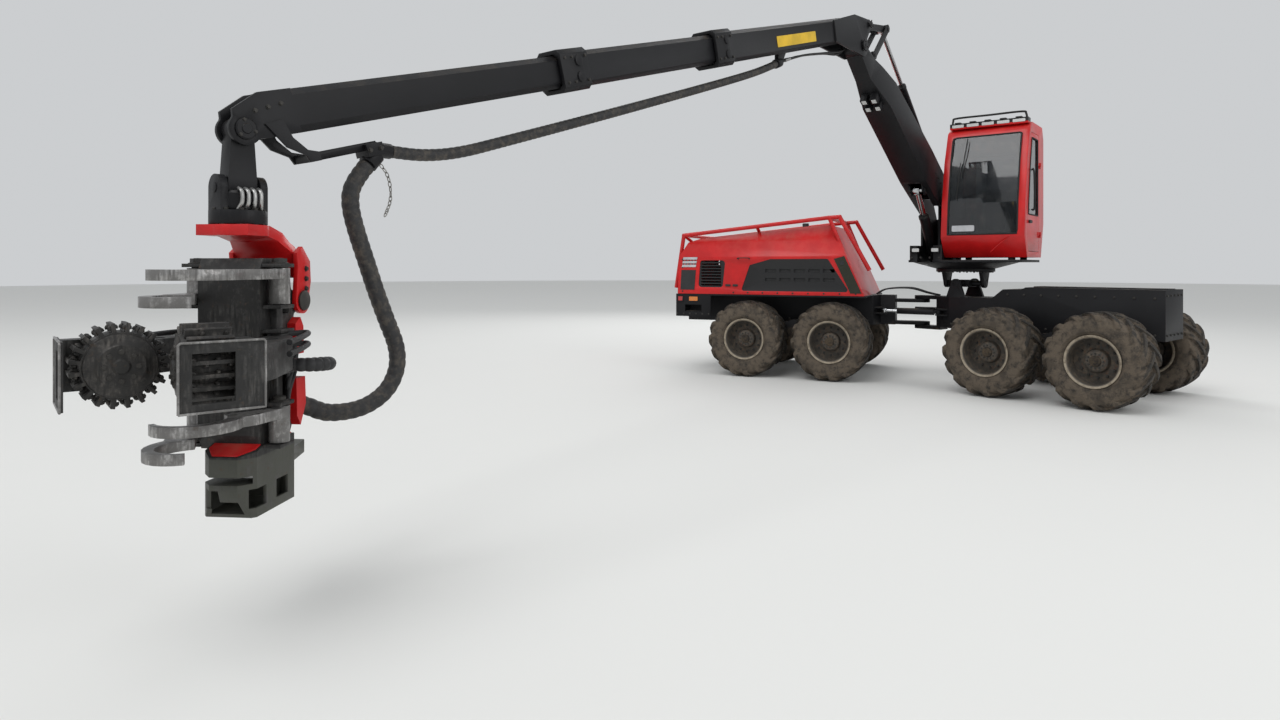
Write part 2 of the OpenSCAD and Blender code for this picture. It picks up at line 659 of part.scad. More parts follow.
module tube_shape(w, h, c = 40) polygon([[-w / 2, -h / 2 + c], [-w / 2 + c, -h / 2], [w / 2 - c, -h / 2], [w / 2, -h / 2 + c],
    [w / 2, h / 2 - c], [w / 2 - c, h / 2], [-w / 2 + c, h / 2], [-w / 2, h / 2 - c]]);
module tube_beam(x0, l, w, h, wall) difference() {
    translate([x0, 0, 0]) rotate([90, 0, 90]) linear_extrude(l) tube_shape(w, h);
    translate([x0 - e, 0, 0]) rotate([90, 0, 90]) linear_extrude(l + 2 * e) offset(delta = -wall) tube_shape(w, h);
}
step = 2 * (tele_wall + tele_gap);
b_w = outer_w - step;
b_h = outer_h - step;
c_w = b_w - step;
c_h = b_h - step;
cheek_t = 26;
cheek_y = tongue_w / 2 + 8 + cheek_t / 2;
lever = [-288, 269];
module outer_boom() color(steel_black) outer_place() {
    translate([0, 0, outer_up]) {
        tube_beam(240, outer_l - 240, outer_w, outer_h, tele_wall);
        collar(outer_l - 330, outer_w, outer_h);
    }
    for (side = [-1, 1]) difference() {
        side_plate(cheek_t, side * cheek_y) offset(-30) offset(30) union() {
            circle(r = 150);
            translate(lever) circle(r = 75);
            polygon([[-60, -130], [60, -140], [900, outer_up - outer_h / 2 + 30], [900, outer_up + outer_h / 2 - 20],
                [200, outer_up + outer_h / 2 + 20], [lever.x, lever.y + 70], [lever.x - 50, lever.y - 50], [-130, 60]]);
        }
    }
    y_pin(pin_d, 2 * cheek_y + 50);
    y_pin(50, 2 * cheek_y + 50, lever.x, lever.y);
    // hose clamp under the boom
    rotate([0, -outer_rest, 0]) translate([-elbow_x, 0, -elbow_z]) hose_end(BOOM_ROUTE, BOOM_RINGS, -1, 110, 110);
    side_plate(50) polygon([[clamp_x - 260, outer_up - outer_h / 2 + 5], [clamp_x - 60, outer_up - outer_h / 2 + 5],
        [clamp_x - 20, -40], [clamp_x - 120, -30]]);
}
module collar(x, w, h) difference() {
    union() {
        translate([x, 0, 0]) rotate([90, 0, 90]) linear_extrude(330) tube_shape(w + 50, h + 50);
        for (side = [-1, 1], dz = [-0.22, 0.22]) y_pin(90, 14, x + 120, dz * h, side * (w / 2 + 31));
    }
    translate([x - e, 0, 0]) rotate([90, 0, 90]) linear_extrude(330 + 2 * e) offset(delta = -e) tube_shape(w, h);
}
// Slide pads between a tube and the one round it, at the inner tube's end and in the outer tube's mouth
module pads(x, w, h, y0, z0, t) for (s = [-1, 1]) {
    translate([x, -y0, s > 0 ? h / 2 - 1 : -h / 2 - t]) cube([240, 2 * y0, t + 1]);
    translate([x, s > 0 ? w / 2 - 1 : -w / 2 - t, -z0]) cube([240, t + 1, 2 * z0]);
}
module boom_b() color(steel_black) outer_place() translate([0, 0, outer_up]) {
    x1 = outer_l + tele_rest;
    pads(x1 - tele_l + 40, b_w, b_h, 55, 75, tele_gap - fit);
    tube_beam(x1 - tele_l, tele_l, b_w, b_h, tele_wall);
    collar(x1 - 330, b_w, b_h);
}
module boom_c() color(steel_black) outer_place() translate([0, 0, outer_up]) {
    x1 = outer_l + 2 * tele_rest;
    pads(x1 - tele_l + 40, c_w, c_h, 40, 60, tele_gap - fit);
    tube_beam(x1 - tele_l, tele_l, c_w, c_h, tele_wall);
    // tip with its fork
    difference() {
        side_plate(c_w) offset(-30) offset(30) union() {
            polygon([[x1 - 60, -c_h / 2], [x1 - 60, c_h / 2], [x1 + 140, c_h / 2], [x1 + 300, 60], [x1 + 330, -110], [x1 + 160, -130]]);
            translate([x1 + 260, -60]) circle(r = 90);
        }
        y_pin(70 + 2 * fit, c_w + 2, x1 + 260, -60);
        translate([x1 + 110, -62, -300]) cube([400, 124, 600]);
    }
    translate([0, 0, -outer_up]) rotate([0, -outer_rest, 0]) translate([-elbow_x, 0, -elbow_z]) {
        hose_end(BOOM_ROUTE, BOOM_RINGS, 1, 100, 110);
        hose_end(HEAD_ROUTE, HEAD_RINGS, -1, 120, 90);
    }
    // hose holder: a fork astride the tip link, its crosspiece, bar and clamp
    for (side = [-1, 1]) side_plate(14, side * (c_w / 2 + 7 - e)) polygon([[x1 + 40, -40], [x1 + 150, -50],
        [x1 + 60, -200], [x1 - 40, -262], [x1 - 60, -310], [x1 - 130, -310], [x1 - 130, -258], [x1 - 60, -235], [x1 + 10, -150]]);
    translate([x1 - 130, -c_w / 2 - 13, -310]) cube([65, c_w + 26, 52]);
    translate([x1 - 570, -30, -310]) cube([445, 60, 52]);
    translate([x1 - 590, -70, -350]) cube([120, 140, 80]);
}

// Jib linkage, in the boom's place

function rot2(p, a) = [p.x * cos(a) - p.y * sin(a), p.x * sin(a) + p.y * cos(a)];
// Where cylinder, link and tie meet, and the tie's pin on the outer boom, both in the boom's place
link_joint = [boom_l - 659, 931];
lever_b = [boom_l, 0] + rot2(lever, -boom_rest - outer_rest);
module jib_cyl(part) boom_place() ram(jib_foot, link_joint, 120, 2000, 1850, 2 * tie_y - link_t, part);
link_t = 22;
link_y = 100;
tie_y = 62;
// Pair of flat links, bored at a and closed by a cap at b
module links(a, b, y, r) for (side = [-1, 1]) {
    side_plate(link_t, side * y) difference() {
        bar2(a, b, r);
        translate(a) circle(d = 50 + 2 * fit);
    }
    y_pin(86, 8, b.x, b.y, side * (y + link_t / 2 + 3));
}
module bar2(a, b, r) {
    v = b - a;
    translate(a) circle(r = r);
    translate(b) circle(r = r);
    translate(a) rotate(atan2(v.y, v.x)) translate([0, -0.8 * r]) square([norm(v), 1.6 * r]);
}
module jib_link() color(steel_black) boom_place() links(link_foot, link_joint, link_y, 60);
module jib_tie() color(steel_black) boom_place() links(lever_b, link_joint, tie_y, 60);

// Tip link and rotator

link_drop = 330;
module tip_link() color(steel_black) tip_place() {
    y_pin(70, c_w);
    difference() {
        side_plate(110) union() {
            circle(r = 70);
            polygon([[-60, 0], [60, 0], [80, -link_drop + 40], [-80, -link_drop + 40]]);
            translate([-80, -link_drop - 70]) square([160, 130]);
        }
        x_pin(60 + 2 * fit, 200, 0, 0, -link_drop);
    }
}
module rotator() color(steel_black) tip_place() translate([0, 0, -link_drop]) {
    for (side = [-1, 1]) translate([side * 110 - 20, 0, 0]) rotate([90, 0, 90]) linear_extrude(40) union() {
        circle(r = 75);
        translate([-75, -130]) square([150, 130]);
    }
    x_pin(60, 270, 0, 0, 0);
    translate([0, 0, -200]) cylinder(d = 300, h = 75);
    translate([0, 0, -235]) cylinder(d = 120, h = 40);
}

// Harvester head, Z from the bottom of the saw box, X towards the trunk

flange_z = head_drop - link_drop - 205;
tilt_pin = [-310, 1230];
tilt_d = 80;
cheek_out = head_w / 2 + 20;
arm_z = 960;
knife_z = 1325;
low_knife_z = 555;
head_hi = 1480;
hub_h = 200;
pivot_d = 64;
pivot_y = head_w / 2 + 62;
// Red arch over the head's back, from the rotator to the cheeks beside the tilt pin
module arch_side() polygon([[150, flange_z], [-60, flange_z], [-190, flange_z - 35], [-300, flange_z - 110],
    [-370, flange_z - 210], [-390, flange_z - 300], [-320, flange_z - 300], [-300, flange_z - 230],
    [-240, flange_z - 150], [-150, flange_z - 85], [-40, flange_z - 60], [150, flange_z - 60]]);
module arch_back() polygon([[-cheek_out - 13, 1300], [-cheek_out - 13, flange_z - 210], [-150, flange_z - 90],
    [-150, flange_z], [150, flange_z], [150, flange_z - 90], [cheek_out + 13, flange_z - 210], [cheek_out + 13, 1300]]);
module tilt_frame() color(crane_red) head_place() {
    difference() {
        union() {
            translate([0, 0, flange_z - 60]) cylinder(d = 320, h = 60);
            intersection() {
                side_plate(2 * cheek_out + 40) arch_side();
                translate([-500, 0, 0]) rotate([90, 0, 90]) linear_extrude(700) arch_back();
            }
        }
        translate([0, 0, flange_z - 40]) cylinder(d = 120 + 2 * fit, h = 60);
    }
    for (side = [-1, 1]) difference() {
        side_plate(26, side * cheek_out) offset(-30) offset(30) union() {
            translate(tilt_pin) circle(r = 78);
            polygon([tilt_pin + [-70, 30], [-400, flange_z - 320], [-390, flange_z - 200], [-300, flange_z - 112],
                [-240, flange_z - 150], [-250, flange_z - 240], tilt_pin + [78, 0]]);
        }
        y_pin(tilt_d + 2 * fit, 40, tilt_pin.x, tilt_pin.y, side * cheek_out);
    }
}
module head_side() offset(-25) offset(25) union() {
    polygon([[-200, 420], [60, 420], [90, 500], [90, head_hi - 70], [60, head_hi], [-140, head_hi], [-215, head_hi - 60],
        [-250, 1150], [-290, 1080], [-290, 620], [-240, 500]]);
    translate(tilt_pin) circle(r = 62);
    polygon([[-200, tilt_pin.y - 90], [-200, tilt_pin.y + 62], [tilt_pin.x, tilt_pin.y + 62], [tilt_pin.x - 40, tilt_pin.y - 48]]);
}
module head_frame() color(steel_black) head_place() difference() {
    union() {
        difference() {
            side_plate(head_w) head_side();
            side_plate(head_w - 50) polygon([[-150, 460], [40, 460], [60, 520], [60, head_hi - 80], [-150, head_hi - 60],
                [-220, 1100], [-255, 1060], [-255, 640]]);
            // windows in both sides
            side_plate(head_w + 2) for (z = [640, 1180]) offset(20) translate([-190, z]) square([70, 150]);
        }
        y_pin(tilt_d, 2 * cheek_out + 30, tilt_pin.x, tilt_pin.y);
        // rear guard below the hose, and the two hose fittings
        side_plate(240) polygon([[-280, 800], [-340, 740], [-345, 520], [-250, 200], [-250, 60], [-200, 60], [-200, 500]]);
        rotate(-head_turn) translate([-tip_x, 0, -head_z]) hose_end(HEAD_ROUTE, HEAD_RINGS, 1, 130, 140);
        saw_box();
        // knife and arm pins between their brackets
        for (z = [arm_z, knife_z, low_knife_z], side = [-1, 1]) translate([0, side * pivot_y, z]) {
            cylinder(d = pivot_d, h = hub_h + 20, center = true);
            for (dz = [-hub_h / 2 - 25, hub_h / 2 + 5]) translate([-70, side > 0 ? -63 : -48, dz]) cube([140, 111, 20]);
        }
        for (side = [-1, 1], z = [knife_z + hub_h / 2 + 24]) translate([0, side * pivot_y, z]) cylinder(d = 80, h = 30, $fn = 6);
        // spacers that tie the brackets to each other behind the hubs
        for (side = [-1, 1]) for (z = [[700, 800], [1090, 1180]])
            translate([-70, side > 0 ? head_w / 2 - e : -head_w / 2 - 40, z[0] - 20]) cube([60, 41, z[1] - z[0] + 40]);
    }
    saw_sweep();
}
// Saw box: closed top, slot for the bar, cage with windows below, housing of the parked bar behind
saw_pin = [40, 110];
slot_lo = 255;
slot_hi = 297;
module saw_plan() polygon([[-250, -110], [130, -110], [200, -40], [200, 120], [130, 190], [-250, 190]]);
module saw_box() {
    difference() {
        intersection() {
            translate([0, 0, 70]) linear_extrude(380) saw_plan();
            side_plate(600) polygon([[-260, 70], [-260, 450], [60, 450], [210, 400], [210, 250], [150, 70]]);
        }
        translate([0, 0, slot_hi + 20]) linear_extrude(90) offset(-20) saw_plan();
        translate([0, 0, 90]) linear_extrude(slot_lo - 108) offset(-20) saw_plan();
        // windows of the cage
        translate([150, -90, 120]) cube([100, 100, 105]);
        translate([40, 130, 120]) cube([120, 100, 105]);
        translate([-180, 130, 120]) cube([120, 100, 105]);
    }
    for (z = [slot_lo - 20, slot_hi]) translate([0, 0, z]) linear_extrude(20) housing_plan();
    translate([0, 0, slot_lo - 20]) linear_extrude(slot_hi - slot_lo + 40) polygon([[-240, 108], [-240, 130], [-660, 30], [-660, 8]]);
}
module housing_plan() polygon([[-240, -100], [-240, 130], [-660, 30], [-660, -110], [-560, -130]]);
module saw_sweep() translate([saw_pin.x, saw_pin.y, slot_lo]) linear_extrude(slot_hi - slot_lo) difference() {
    union() {
        circle(r = 66);
        polygon(concat([[0, 0]], [for (a = [0:10:170]) 720 * [cos(saw_turn + a), sin(saw_turn + a)]]));
        for (a = [0, 170]) rotate(saw_turn + a) translate([0, -56]) square([710, 112]);
    }
    circle(d = 50);
}

module arm_hub(side) translate([0, side * pivot_y, 0]) difference() {
    cylinder(d = 110, h = hub_h, center = true);
    cylinder(d = pivot_d + 2 * fit, h = hub_h + 2, center = true);
}
roller_off = 222;
motor_in = roller_w / 2 + 8;
module roller_axis(side) translate([trunk_x + roller_off, side * roller_off, 0]) rotate([0, 0, side * 45]) children();
// Arm with its motor housing and the guard plate outside the roller
module roller_arm(side) color(steel_black) head_place() translate([0, 0, arm_z]) {
    arm_hub(side);
    difference() {
        translate([0, 0, -90]) linear_extrude(180) offset(-15) offset(15) union() {
            polygon([[34, side * (pivot_y - 48)], [-25, side * (pivot_y + 45)], [90, side * 370], [430, side * 470],
                [560, side * 480], [468, side * 260], [380, side * 290], [200, side * 235]]);
        }
        translate([0, side * pivot_y, 0]) cylinder(d = pivot_d + 2 * fit, h = hub_h + 2, center = true);
        translate([230, side * 320, 20]) cylinder(r = 45, h = 100);
    }
    roller_axis(side) {
        translate([0, side * motor_in, 0]) rotate([-90 * side, 0, 0]) cylinder(d = 200, h = 110);
        translate([0, side * (motor_in + 1), 0]) rotate([90 * side, 0, 0]) cylinder(d = 60, h = 100);
        translate([-105, side > 0 ? motor_in : -motor_in - 106, -130]) cube([roller_d / 2 + 139, 106, 250]);
        difference() {
            translate([roller_d / 2 + 20, side > 0 ? -150 : -motor_in - 106, -190]) cube([14, 256 + motor_in, 320]);
            translate([roller_d / 2, -95, -150]) cube([60, 180, 230]);
        }
    }
}
module roller(side) color([0.15, 0.15, 0.16]) head_place() translate([0, 0, arm_z]) roller_axis(side) difference() {
    side_plate(roller_w) {
        circle(d = roller_d - 90);
        for (i = [0:roller_ribs - 1]) rotate(360 / roller_ribs * (i + 0.5)) translate([roller_d / 2 - 70, -9]) square([70, 18]);
    }
    translate([0, side * (roller_w / 2 + e), 0]) rotate([90 * side, 0, 0]) cylinder(d = 60 + 2 * fit, h = 101);
}

// Curved delimbing knife swept round the trunk, thicker towards its hub
knife_start = 150;
module knife_plan(side, r_in, reach) polygon(concat(
    [for (i = [0:12]) let (a = knife_start - reach * i / 12) [trunk_x + r_in * cos(a), side * r_in * sin(a)]],
    [for (i = [12:-1:0]) let (a = knife_start - reach * i / 12, r = r_in + 25 + 65 * (1 - i / 12))
        [trunk_x + r * cos(a), side * r * sin(a)]]
));
module knife(side, z, lift, r_in, reach) color([0.3, 0.3, 0.31]) head_place() translate([0, 0, z]) {
    arm_hub(side);
    difference() {
        translate([0, 0, lift]) linear_extrude(55) union() {
            knife_plan(side, r_in, reach);
            polygon([[20, side * (pivot_y - 50)], [110, side * (head_w / 2 + 12)],
                [trunk_x + r_in * cos(knife_start), side * r_in * sin(knife_start)], [trunk_x - 60, side * (r_in + 40)],
                [trunk_x - 160, side * (r_in + 95)], [40, side * (pivot_y + 52)], [0, side * (pivot_y + 55)]]);
        }
        translate([0, side * pivot_y, 0]) cylinder(d = pivot_d + 2 * fit, h = hub_h + 2, center = true);
    }
}

saw_turn = 194.5;
module saw_bar() color([0.5, 0.5, 0.5]) head_place() translate([saw_pin.x, saw_pin.y, (slot_lo + slot_hi) / 2 - 6])
    rotate(saw_turn) linear_extrude(12) difference() {
        union() {
            circle(d = 110);
            translate([bar_l, 0]) circle(d = 90);
            translate([0, -45]) square([bar_l, 90]);
        }
        circle(d = 50 + 2 * fit);
    }

// Free hoses: one smooth tube through route points
function route_at(pts, t) = let (i = min(floor(t), len(pts) - 2), u = t - i,
    a = pts[max(i - 1, 0)], b = pts[i], c = pts[i + 1], d = pts[min(i + 2, len(pts) - 1)])
    0.5 * ((2 * b) + (c - a) * u + (2 * a - 5 * b + 4 * c - d) * u * u + (3 * b - a - 3 * c + d) * u * u * u);
module hose(pts, d, rings, sides = 8) {
    n = len(pts) - 1;
    mid = [for (i = [0:rings]) route_at(pts, n * i / rings)];
    ring_pts = [for (i = [0:rings]) let (v = mid[min(i + 1, rings)] - mid[max(i - 1, 0)], t = v / norm(v),
        w = cross(t, [0, 1, 0]), p = w / norm(w), q = cross(t, p))
        for (k = [0:sides - 1]) mid[i] + d / 2 * (cos(360 * k / sides) * p + sin(360 * k / sides) * q)];
    quads = [for (i = [0:rings - 1], k = [0:sides - 1]) [i * sides + k, (i + 1) * sides + k,
        (i + 1) * sides + (k + 1) % sides, i * sides + (k + 1) % sides]];
    polyhedron(ring_pts, concat(quads, [[for (k = [0:sides - 1]) k]],
        [[for (k = [sides - 1:-1:0]) rings * sides + k]]));
}
// Route points in the crane's place: under the outer boom to the holder arm, and on to the head
clamp_x = outer_l - 1500;
function outer_point(x, y, z) = [elbow_x + x * cos(outer_rest) + z * sin(outer_rest), y,
    elbow_z - x * sin(outer_rest) + z * cos(outer_rest)];
function head_point(x, y, z) = [tip_x + x * cos(head_turn) - y * sin(head_turn),
    x * sin(head_turn) + y * cos(head_turn), head_z + z];
BOOM_ROUTE = [outer_point(clamp_x, 0, -20), outer_point(clamp_x + 587, 15, -70), outer_point(outer_l + 35, 25, -110),
    outer_point(outer_l + 1618, 25, -160), outer_point(tip_along - 1973, 15, -195),
    outer_point(tip_along - 1500, 5, -200), outer_point(tip_along - 1190, 0, -165), outer_point(tip_along - 935, 0, -95)];
// Points of the head's hose from the tip pin: ahead, left, up
HEAD_STEPS = [[-815, 0, -110], [-755, 0, -185], [-700, 0, -280], [-695, 0, -390], [-735, 0, -540], [-803, 0, -727], [-878, 0, -932],
    [-958, 0, -1127], [-1028, 0, -1297], [-1033, 0, -1447], [-958, -15, -1592], [-803, -50, -1682], [-603, -95, -1690]];
HEAD_ROUTE = concat([for (p = HEAD_STEPS) [tip_x + p.x, p.y, tip_z + p.z]], [head_point(-482, 161, 560), head_point(-395, 62, 620)]);
BOOM_RINGS = 26;
HEAD_RINGS = 46;
// Fitting that a hose's end butts on, square to its last ring: sign -1 at its start and 1 at its end
module hose_end(pts, rings, sign, d, l) {
    n = len(pts) - 1;
    p = pts[sign < 0 ? 0 : n];
    v = p - route_at(pts, sign < 0 ? n / rings : n - n / rings);
    rod(p + v / norm(v) * fit, p + v / norm(v) * l, d);
}
module boom_hose() color(steel_black) crane_place() hose(BOOM_ROUTE, 85, BOOM_RINGS);
module head_hose() color(steel_black) crane_place() hose(HEAD_ROUTE, 110, HEAD_RINGS);

// Cab, in the turntable's place

cab_left = cab_right + cab_w;
roof_z = cab_z + cab_h;
module cab_side() polygon([[cab_front - 200, cab_z], [cab_front, cab_z + 340], [cab_front - 60, cab_z + 900], [cab_front - 200, cab_z + 1600],
    [cab_front - 400, roof_z - 100], [cab_front - 560, roof_z], [-cab_back + 100, roof_z], [-cab_back, roof_z - 200],
    [-cab_back, cab_z + 580], [-cab_back + 200, cab_z]]);
module door_shape(grow) offset(delta = grow) polygon([[-520, cab_z + 90], [220, cab_z + 90], [340, cab_z + 380], [300, cab_z + 900],
    [170, cab_z + 1560], [20, roof_z - 170], [-520, roof_z - 170]]);
door_hinge = [-540, cab_left + 20];
module cab() color(crane_red) slew_place() {
    cab_shell();
    // roof rail with lamps
    difference() {
        translate([-90, cab_right + 30, roof_z - 25]) cube([180, cab_w - 60, 95]);
        for (i = [0:4]) translate([78, cab_right + 60 + i * (cab_w - 90) / 5, roof_z - 5]) cube([20, (cab_w - 90) / 5 - 40, 60]);
    }
    for (z = [cab_z + 330, cab_z + 1500]) translate([door_hinge.x, door_hinge.y, z]) {
        cylinder(d = 24, h = 100);
        translate([-40, -30, 0]) cube([52, 42, 40]);
    }
}
module cab_shell() difference() {
    side_plate(cab_w, cab_right + cab_w / 2) cab_side();
    side_plate(cab_w - 2 * cab_wall, cab_right + cab_w / 2) offset(delta = -cab_wall) cab_side();
    // windscreen, right window, door, rear window
    translate([0, cab_right + 110, cab_z + 380]) cube([1000, cab_w - 220, cab_h - 560]);
    side_plate(cab_wall * 3, cab_right) side_window();
    side_plate(cab_wall * 3, cab_left) door_shape(0);
    translate([-cab_back - 100, cab_right + 200, cab_z + 1000]) cube([300, cab_w - 400, 800]);
}
module side_window() polygon([[-700, cab_z + 700], [260, cab_z + 700], [220, cab_z + 900], [110, cab_z + 1560], [-40, roof_z - 200],
    [-700, roof_z - 200]]);
module cab_glass() color([0.1, 0.12, 0.14, 0.4]) slew_place() {
    // windscreen
    intersection() {
        side_plate(cab_w - 220 - 2 * fit, cab_right + cab_w / 2) difference() {
            offset(delta = -12) cab_side();
            offset(delta = -12 - pane_t) cab_side();
        }
        translate([0, cab_right, cab_z + 380 + fit]) cube([1000, cab_w, cab_h - 560 - 2 * fit]);
    }
    side_plate(pane_t, cab_right + 20) offset(delta = -fit) side_window();
    translate([-cab_back + 15, cab_right + 200 + fit, cab_z + 1000 + fit]) cube([pane_t, cab_w - 400 - 2 * fit, 800 - 2 * fit]);
}
module door() color(crane_red) slew_place() {
    difference() {
        side_plate(cab_wall, cab_left - cab_wall / 2) door_shape(-door_gap);
        side_plate(cab_wall * 3, cab_left) door_window(0);
    }
    for (z = [cab_z + 330, cab_z + 1500]) translate([door_hinge.x, door_hinge.y, z + 40 + fit]) difference() {
        union() {
            cylinder(d = 37, h = 58);
            translate([0, -19, 0]) cube([90, 14, 58]);
            translate([30, -23, 0]) cube([60, 18, 58]);
        }
        translate([0, 0, -e]) cylinder(d = 24 + 2 * fit, h = 60);
    }
}
module door_window(shrink) offset(delta = -shrink) polygon([[-440, cab_z + 700], [240, cab_z + 700], [215, cab_z + 900], [100, cab_z + 1540],
    [-20, roof_z - 260], [-440, roof_z - 260]]);
module door_glass() color([0.1, 0.12, 0.14, 0.4]) slew_place() side_plate(pane_t, cab_left - cab_wall / 2) door_window(fit);
module seat() color([0.12, 0.12, 0.13]) slew_place() translate([-250, cab_right + cab_w / 2, cab_z + cab_wall + fit]) {
    translate([-200, -200, 0]) cube([400, 400, 260]);
    translate([-260, -250, 260]) cube([520, 500, 140]);
    translate([-260, -240, 400]) cube([130, 480, 760]);
    for (side = [-1, 1]) translate([-150, side > 0 ? 240 : -320, 300]) cube([480, 80, 320]);
}

front_frame();
translate([front_axle_x, 0, 0]) axle();  // front_axle
rear_frame();
rear_place() translate([-rear_axle_back, 0, 0]) axle();  // rear_axle
engine();
hood();
hood_guard();
wheel_place(0) tyre();  // tyre_fr1
wheel_place(1) tyre();  // tyre_fr2
wheel_place(2) tyre();  // tyre_fl1
wheel_place(3) tyre();  // tyre_fl2
wheel_place(4) tyre();  // tyre_rr1
wheel_place(5) tyre();  // tyre_rr2
wheel_place(6) tyre();  // tyre_rl1
wheel_place(7) tyre();  // tyre_rl2
wheel_place(0) rim();  // rim_fr1
wheel_place(1) rim();  // rim_fr2
wheel_place(2) rim();  // rim_fl1
wheel_place(3) rim();  // rim_fl2
wheel_place(4) rim();  // rim_rr1
wheel_place(5) rim();  // rim_rr2
wheel_place(6) rim();  // rim_rl1
wheel_place(7) rim();  // rim_rl2
color(steel_black) steer_cylinder(-1, "barrel");  // steer_barrel_r
color("silver") steer_cylinder(-1, "rod");  // steer_rod_r
color(steel_black) steer_cylinder(1, "barrel");  // steer_barrel_l
color("silver") steer_cylinder(1, "rod");  // steer_rod_l
level_cross();
level_ring();
turntable();
cab();
cab_glass();
seat();
door();
door_glass();
main_boom();
color(steel_black) lift_cyl("barrel");  // lift_barrel
color("silver") lift_cyl("rod");  // lift_rod
outer_boom();
color(steel_black) jib_cyl("barrel");  // jib_barrel
color("silver") jib_cyl("rod");  // jib_rod
jib_link();
jib_tie();
boom_b();
boom_c();
tip_link();
rotator();
tilt_frame();
head_frame();
roller_arm(-1);  // roller_arm_r
roller_arm(1);  // roller_arm_l
roller(-1);  // roller_r
roller(1);  // roller_l
knife(-1, knife_z, -95, 175, 185);  // knife_r
knife(1, knife_z, 40, 175, 205);  // knife_l
knife(-1, low_knife_z, -95, 165, 175);  // low_knife_r
knife(1, low_knife_z, 40, 165, 195);  // low_knife_l
saw_bar();
boom_hose();
head_hose();
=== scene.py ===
"""Finish of the forestry harvester: paint, rubber, worn steel and the pieces that the solids don't hold."""

import math

import bpy
import numpy as np
from bpy.props import FloatProperty, FloatVectorProperty, IntProperty, PointerProperty
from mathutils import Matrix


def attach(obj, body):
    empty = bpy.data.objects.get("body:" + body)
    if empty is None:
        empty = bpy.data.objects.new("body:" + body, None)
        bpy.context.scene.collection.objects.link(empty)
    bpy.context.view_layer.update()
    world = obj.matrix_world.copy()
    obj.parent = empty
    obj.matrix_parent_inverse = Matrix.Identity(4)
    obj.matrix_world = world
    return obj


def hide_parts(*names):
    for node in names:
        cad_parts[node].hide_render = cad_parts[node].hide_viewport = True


bl_info = {
    "name": "Forestry harvester finish",
    "version": (1, 0, 0),
    "blender": (4, 5, 0),
    "location": "View3D > Sidebar > Harvester",
    "description": "Dresses the harvester's frame with materials, fittings, hoses and a plain stage",
    "category": "Object",
}

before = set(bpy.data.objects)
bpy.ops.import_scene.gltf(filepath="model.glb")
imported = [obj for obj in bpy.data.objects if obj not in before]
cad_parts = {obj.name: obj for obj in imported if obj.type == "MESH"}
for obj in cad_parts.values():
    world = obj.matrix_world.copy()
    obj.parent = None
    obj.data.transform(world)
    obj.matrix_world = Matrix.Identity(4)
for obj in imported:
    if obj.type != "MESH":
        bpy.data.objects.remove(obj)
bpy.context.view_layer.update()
WHEELS = ("fr1", "fr2", "fl1", "fl2", "rr1", "rr2", "rl1", "rl2")
DEG = math.pi / 180
SIDES = ((-1, "-y"), (1, "+y"))
POLE = 0.0001  # radius, in metres, of the small face that closes a turned shape on its axis


# Places of the machine's parts, as 4 by 4 matrices, in metres

def shift(x, y, z):
    """A move by x, y and z."""
    place = np.eye(4)
    place[:3, 3] = x, y, z
    return place


def turn(axis, degrees):
    """A right-handed turn about one axis."""
    a, (i, j) = degrees * DEG, {"x": (1, 2), "y": (2, 0), "z": (0, 1)}[axis]
    place = np.eye(4)
    place[i, i] = place[j, j] = math.cos(a)
    place[i, j], place[j, i] = -math.sin(a), math.sin(a)
    return place


BOOM_ANGLE, OUTER_ANGLE, BOOM_L, TIP_ALONG, OUTER_UP = 29.3, 16.5, 4.356, 8.86, 0.25
ELBOW = (-0.35 + BOOM_L * math.cos(BOOM_ANGLE * DEG), 2.95 + BOOM_L * math.sin(BOOM_ANGLE * DEG))
REAR = shift(-0.8, 0, 0) @ turn("z", 25)
CAB = turn("z", -79)
CRANE = CAB @ shift(0, -0.55, 0)
BOOM = CRANE @ shift(-0.35, 0, 2.95) @ turn("y", -BOOM_ANGLE)
OUTER = CRANE @ shift(ELBOW[0], 0, ELBOW[1]) @ turn("y", OUTER_ANGLE)
TIP = OUTER @ shift(TIP_ALONG, 0, OUTER_UP - 0.06) @ turn("y", -OUTER_ANGLE)
HEAD = TIP @ shift(0, 0, -2.2) @ turn("z", 33)


def wheel_place(name):
    """The middle of a wheel, its Z along the axle and outwards."""
    side = 1 if name[1] == "l" else -1
    if name[0] == "f":
        x = 1.75 + (0.75 if name[2] == "2" else -0.75)
        return shift(x, side * 1.125, 0.6725) @ turn("x", -90 * side)
    x = -2.15 + (0.75 if name[2] == "1" else -0.75)
    return REAR @ shift(x, side * 1.125, 0.6725) @ turn("x", -90 * side)


def roller_place(side):
    """The middle of a feed roller, its Y along the axle."""
    return HEAD @ shift(0.622, side * 0.222, 0.96) @ turn("z", side * 45)


def moved(points, place):
    """Points carried by a place: turned by its 3 by 3 part, then shifted by its last column."""
    points = np.asarray(points, float)
    return points @ place[:3, :3].T + place[:3, 3]


# Surfaces

def cells(rows, cols, close_rows=False, close_cols=False):
    """Quads of a grid of rows by cols points, joined round where a direction is closed."""
    i = np.arange(rows if close_rows else rows - 1)[:, None]
    j = np.arange(cols if close_cols else cols - 1)[None, :]
    i2, j2 = (i + 1) % rows, (j + 1) % cols
    quads = np.stack([i * cols + j, i * cols + j2, i2 * cols + j2, i2 * cols + j], axis=-1)
    return quads.reshape(-1, 4)


def loft(rows, cap=True):
    """A skin through closed rows of points, rows[i, j], with a flat face on the first and the last row."""
    rows = np.asarray(rows, float)
    n, m = rows.shape[:2]
    faces = cells(n, m, close_cols=True).tolist()
    if cap:
        faces += [list(range(m))[::-1], list(range((n - 1) * m, n * m))]
    return rows.reshape(-1, 3), faces


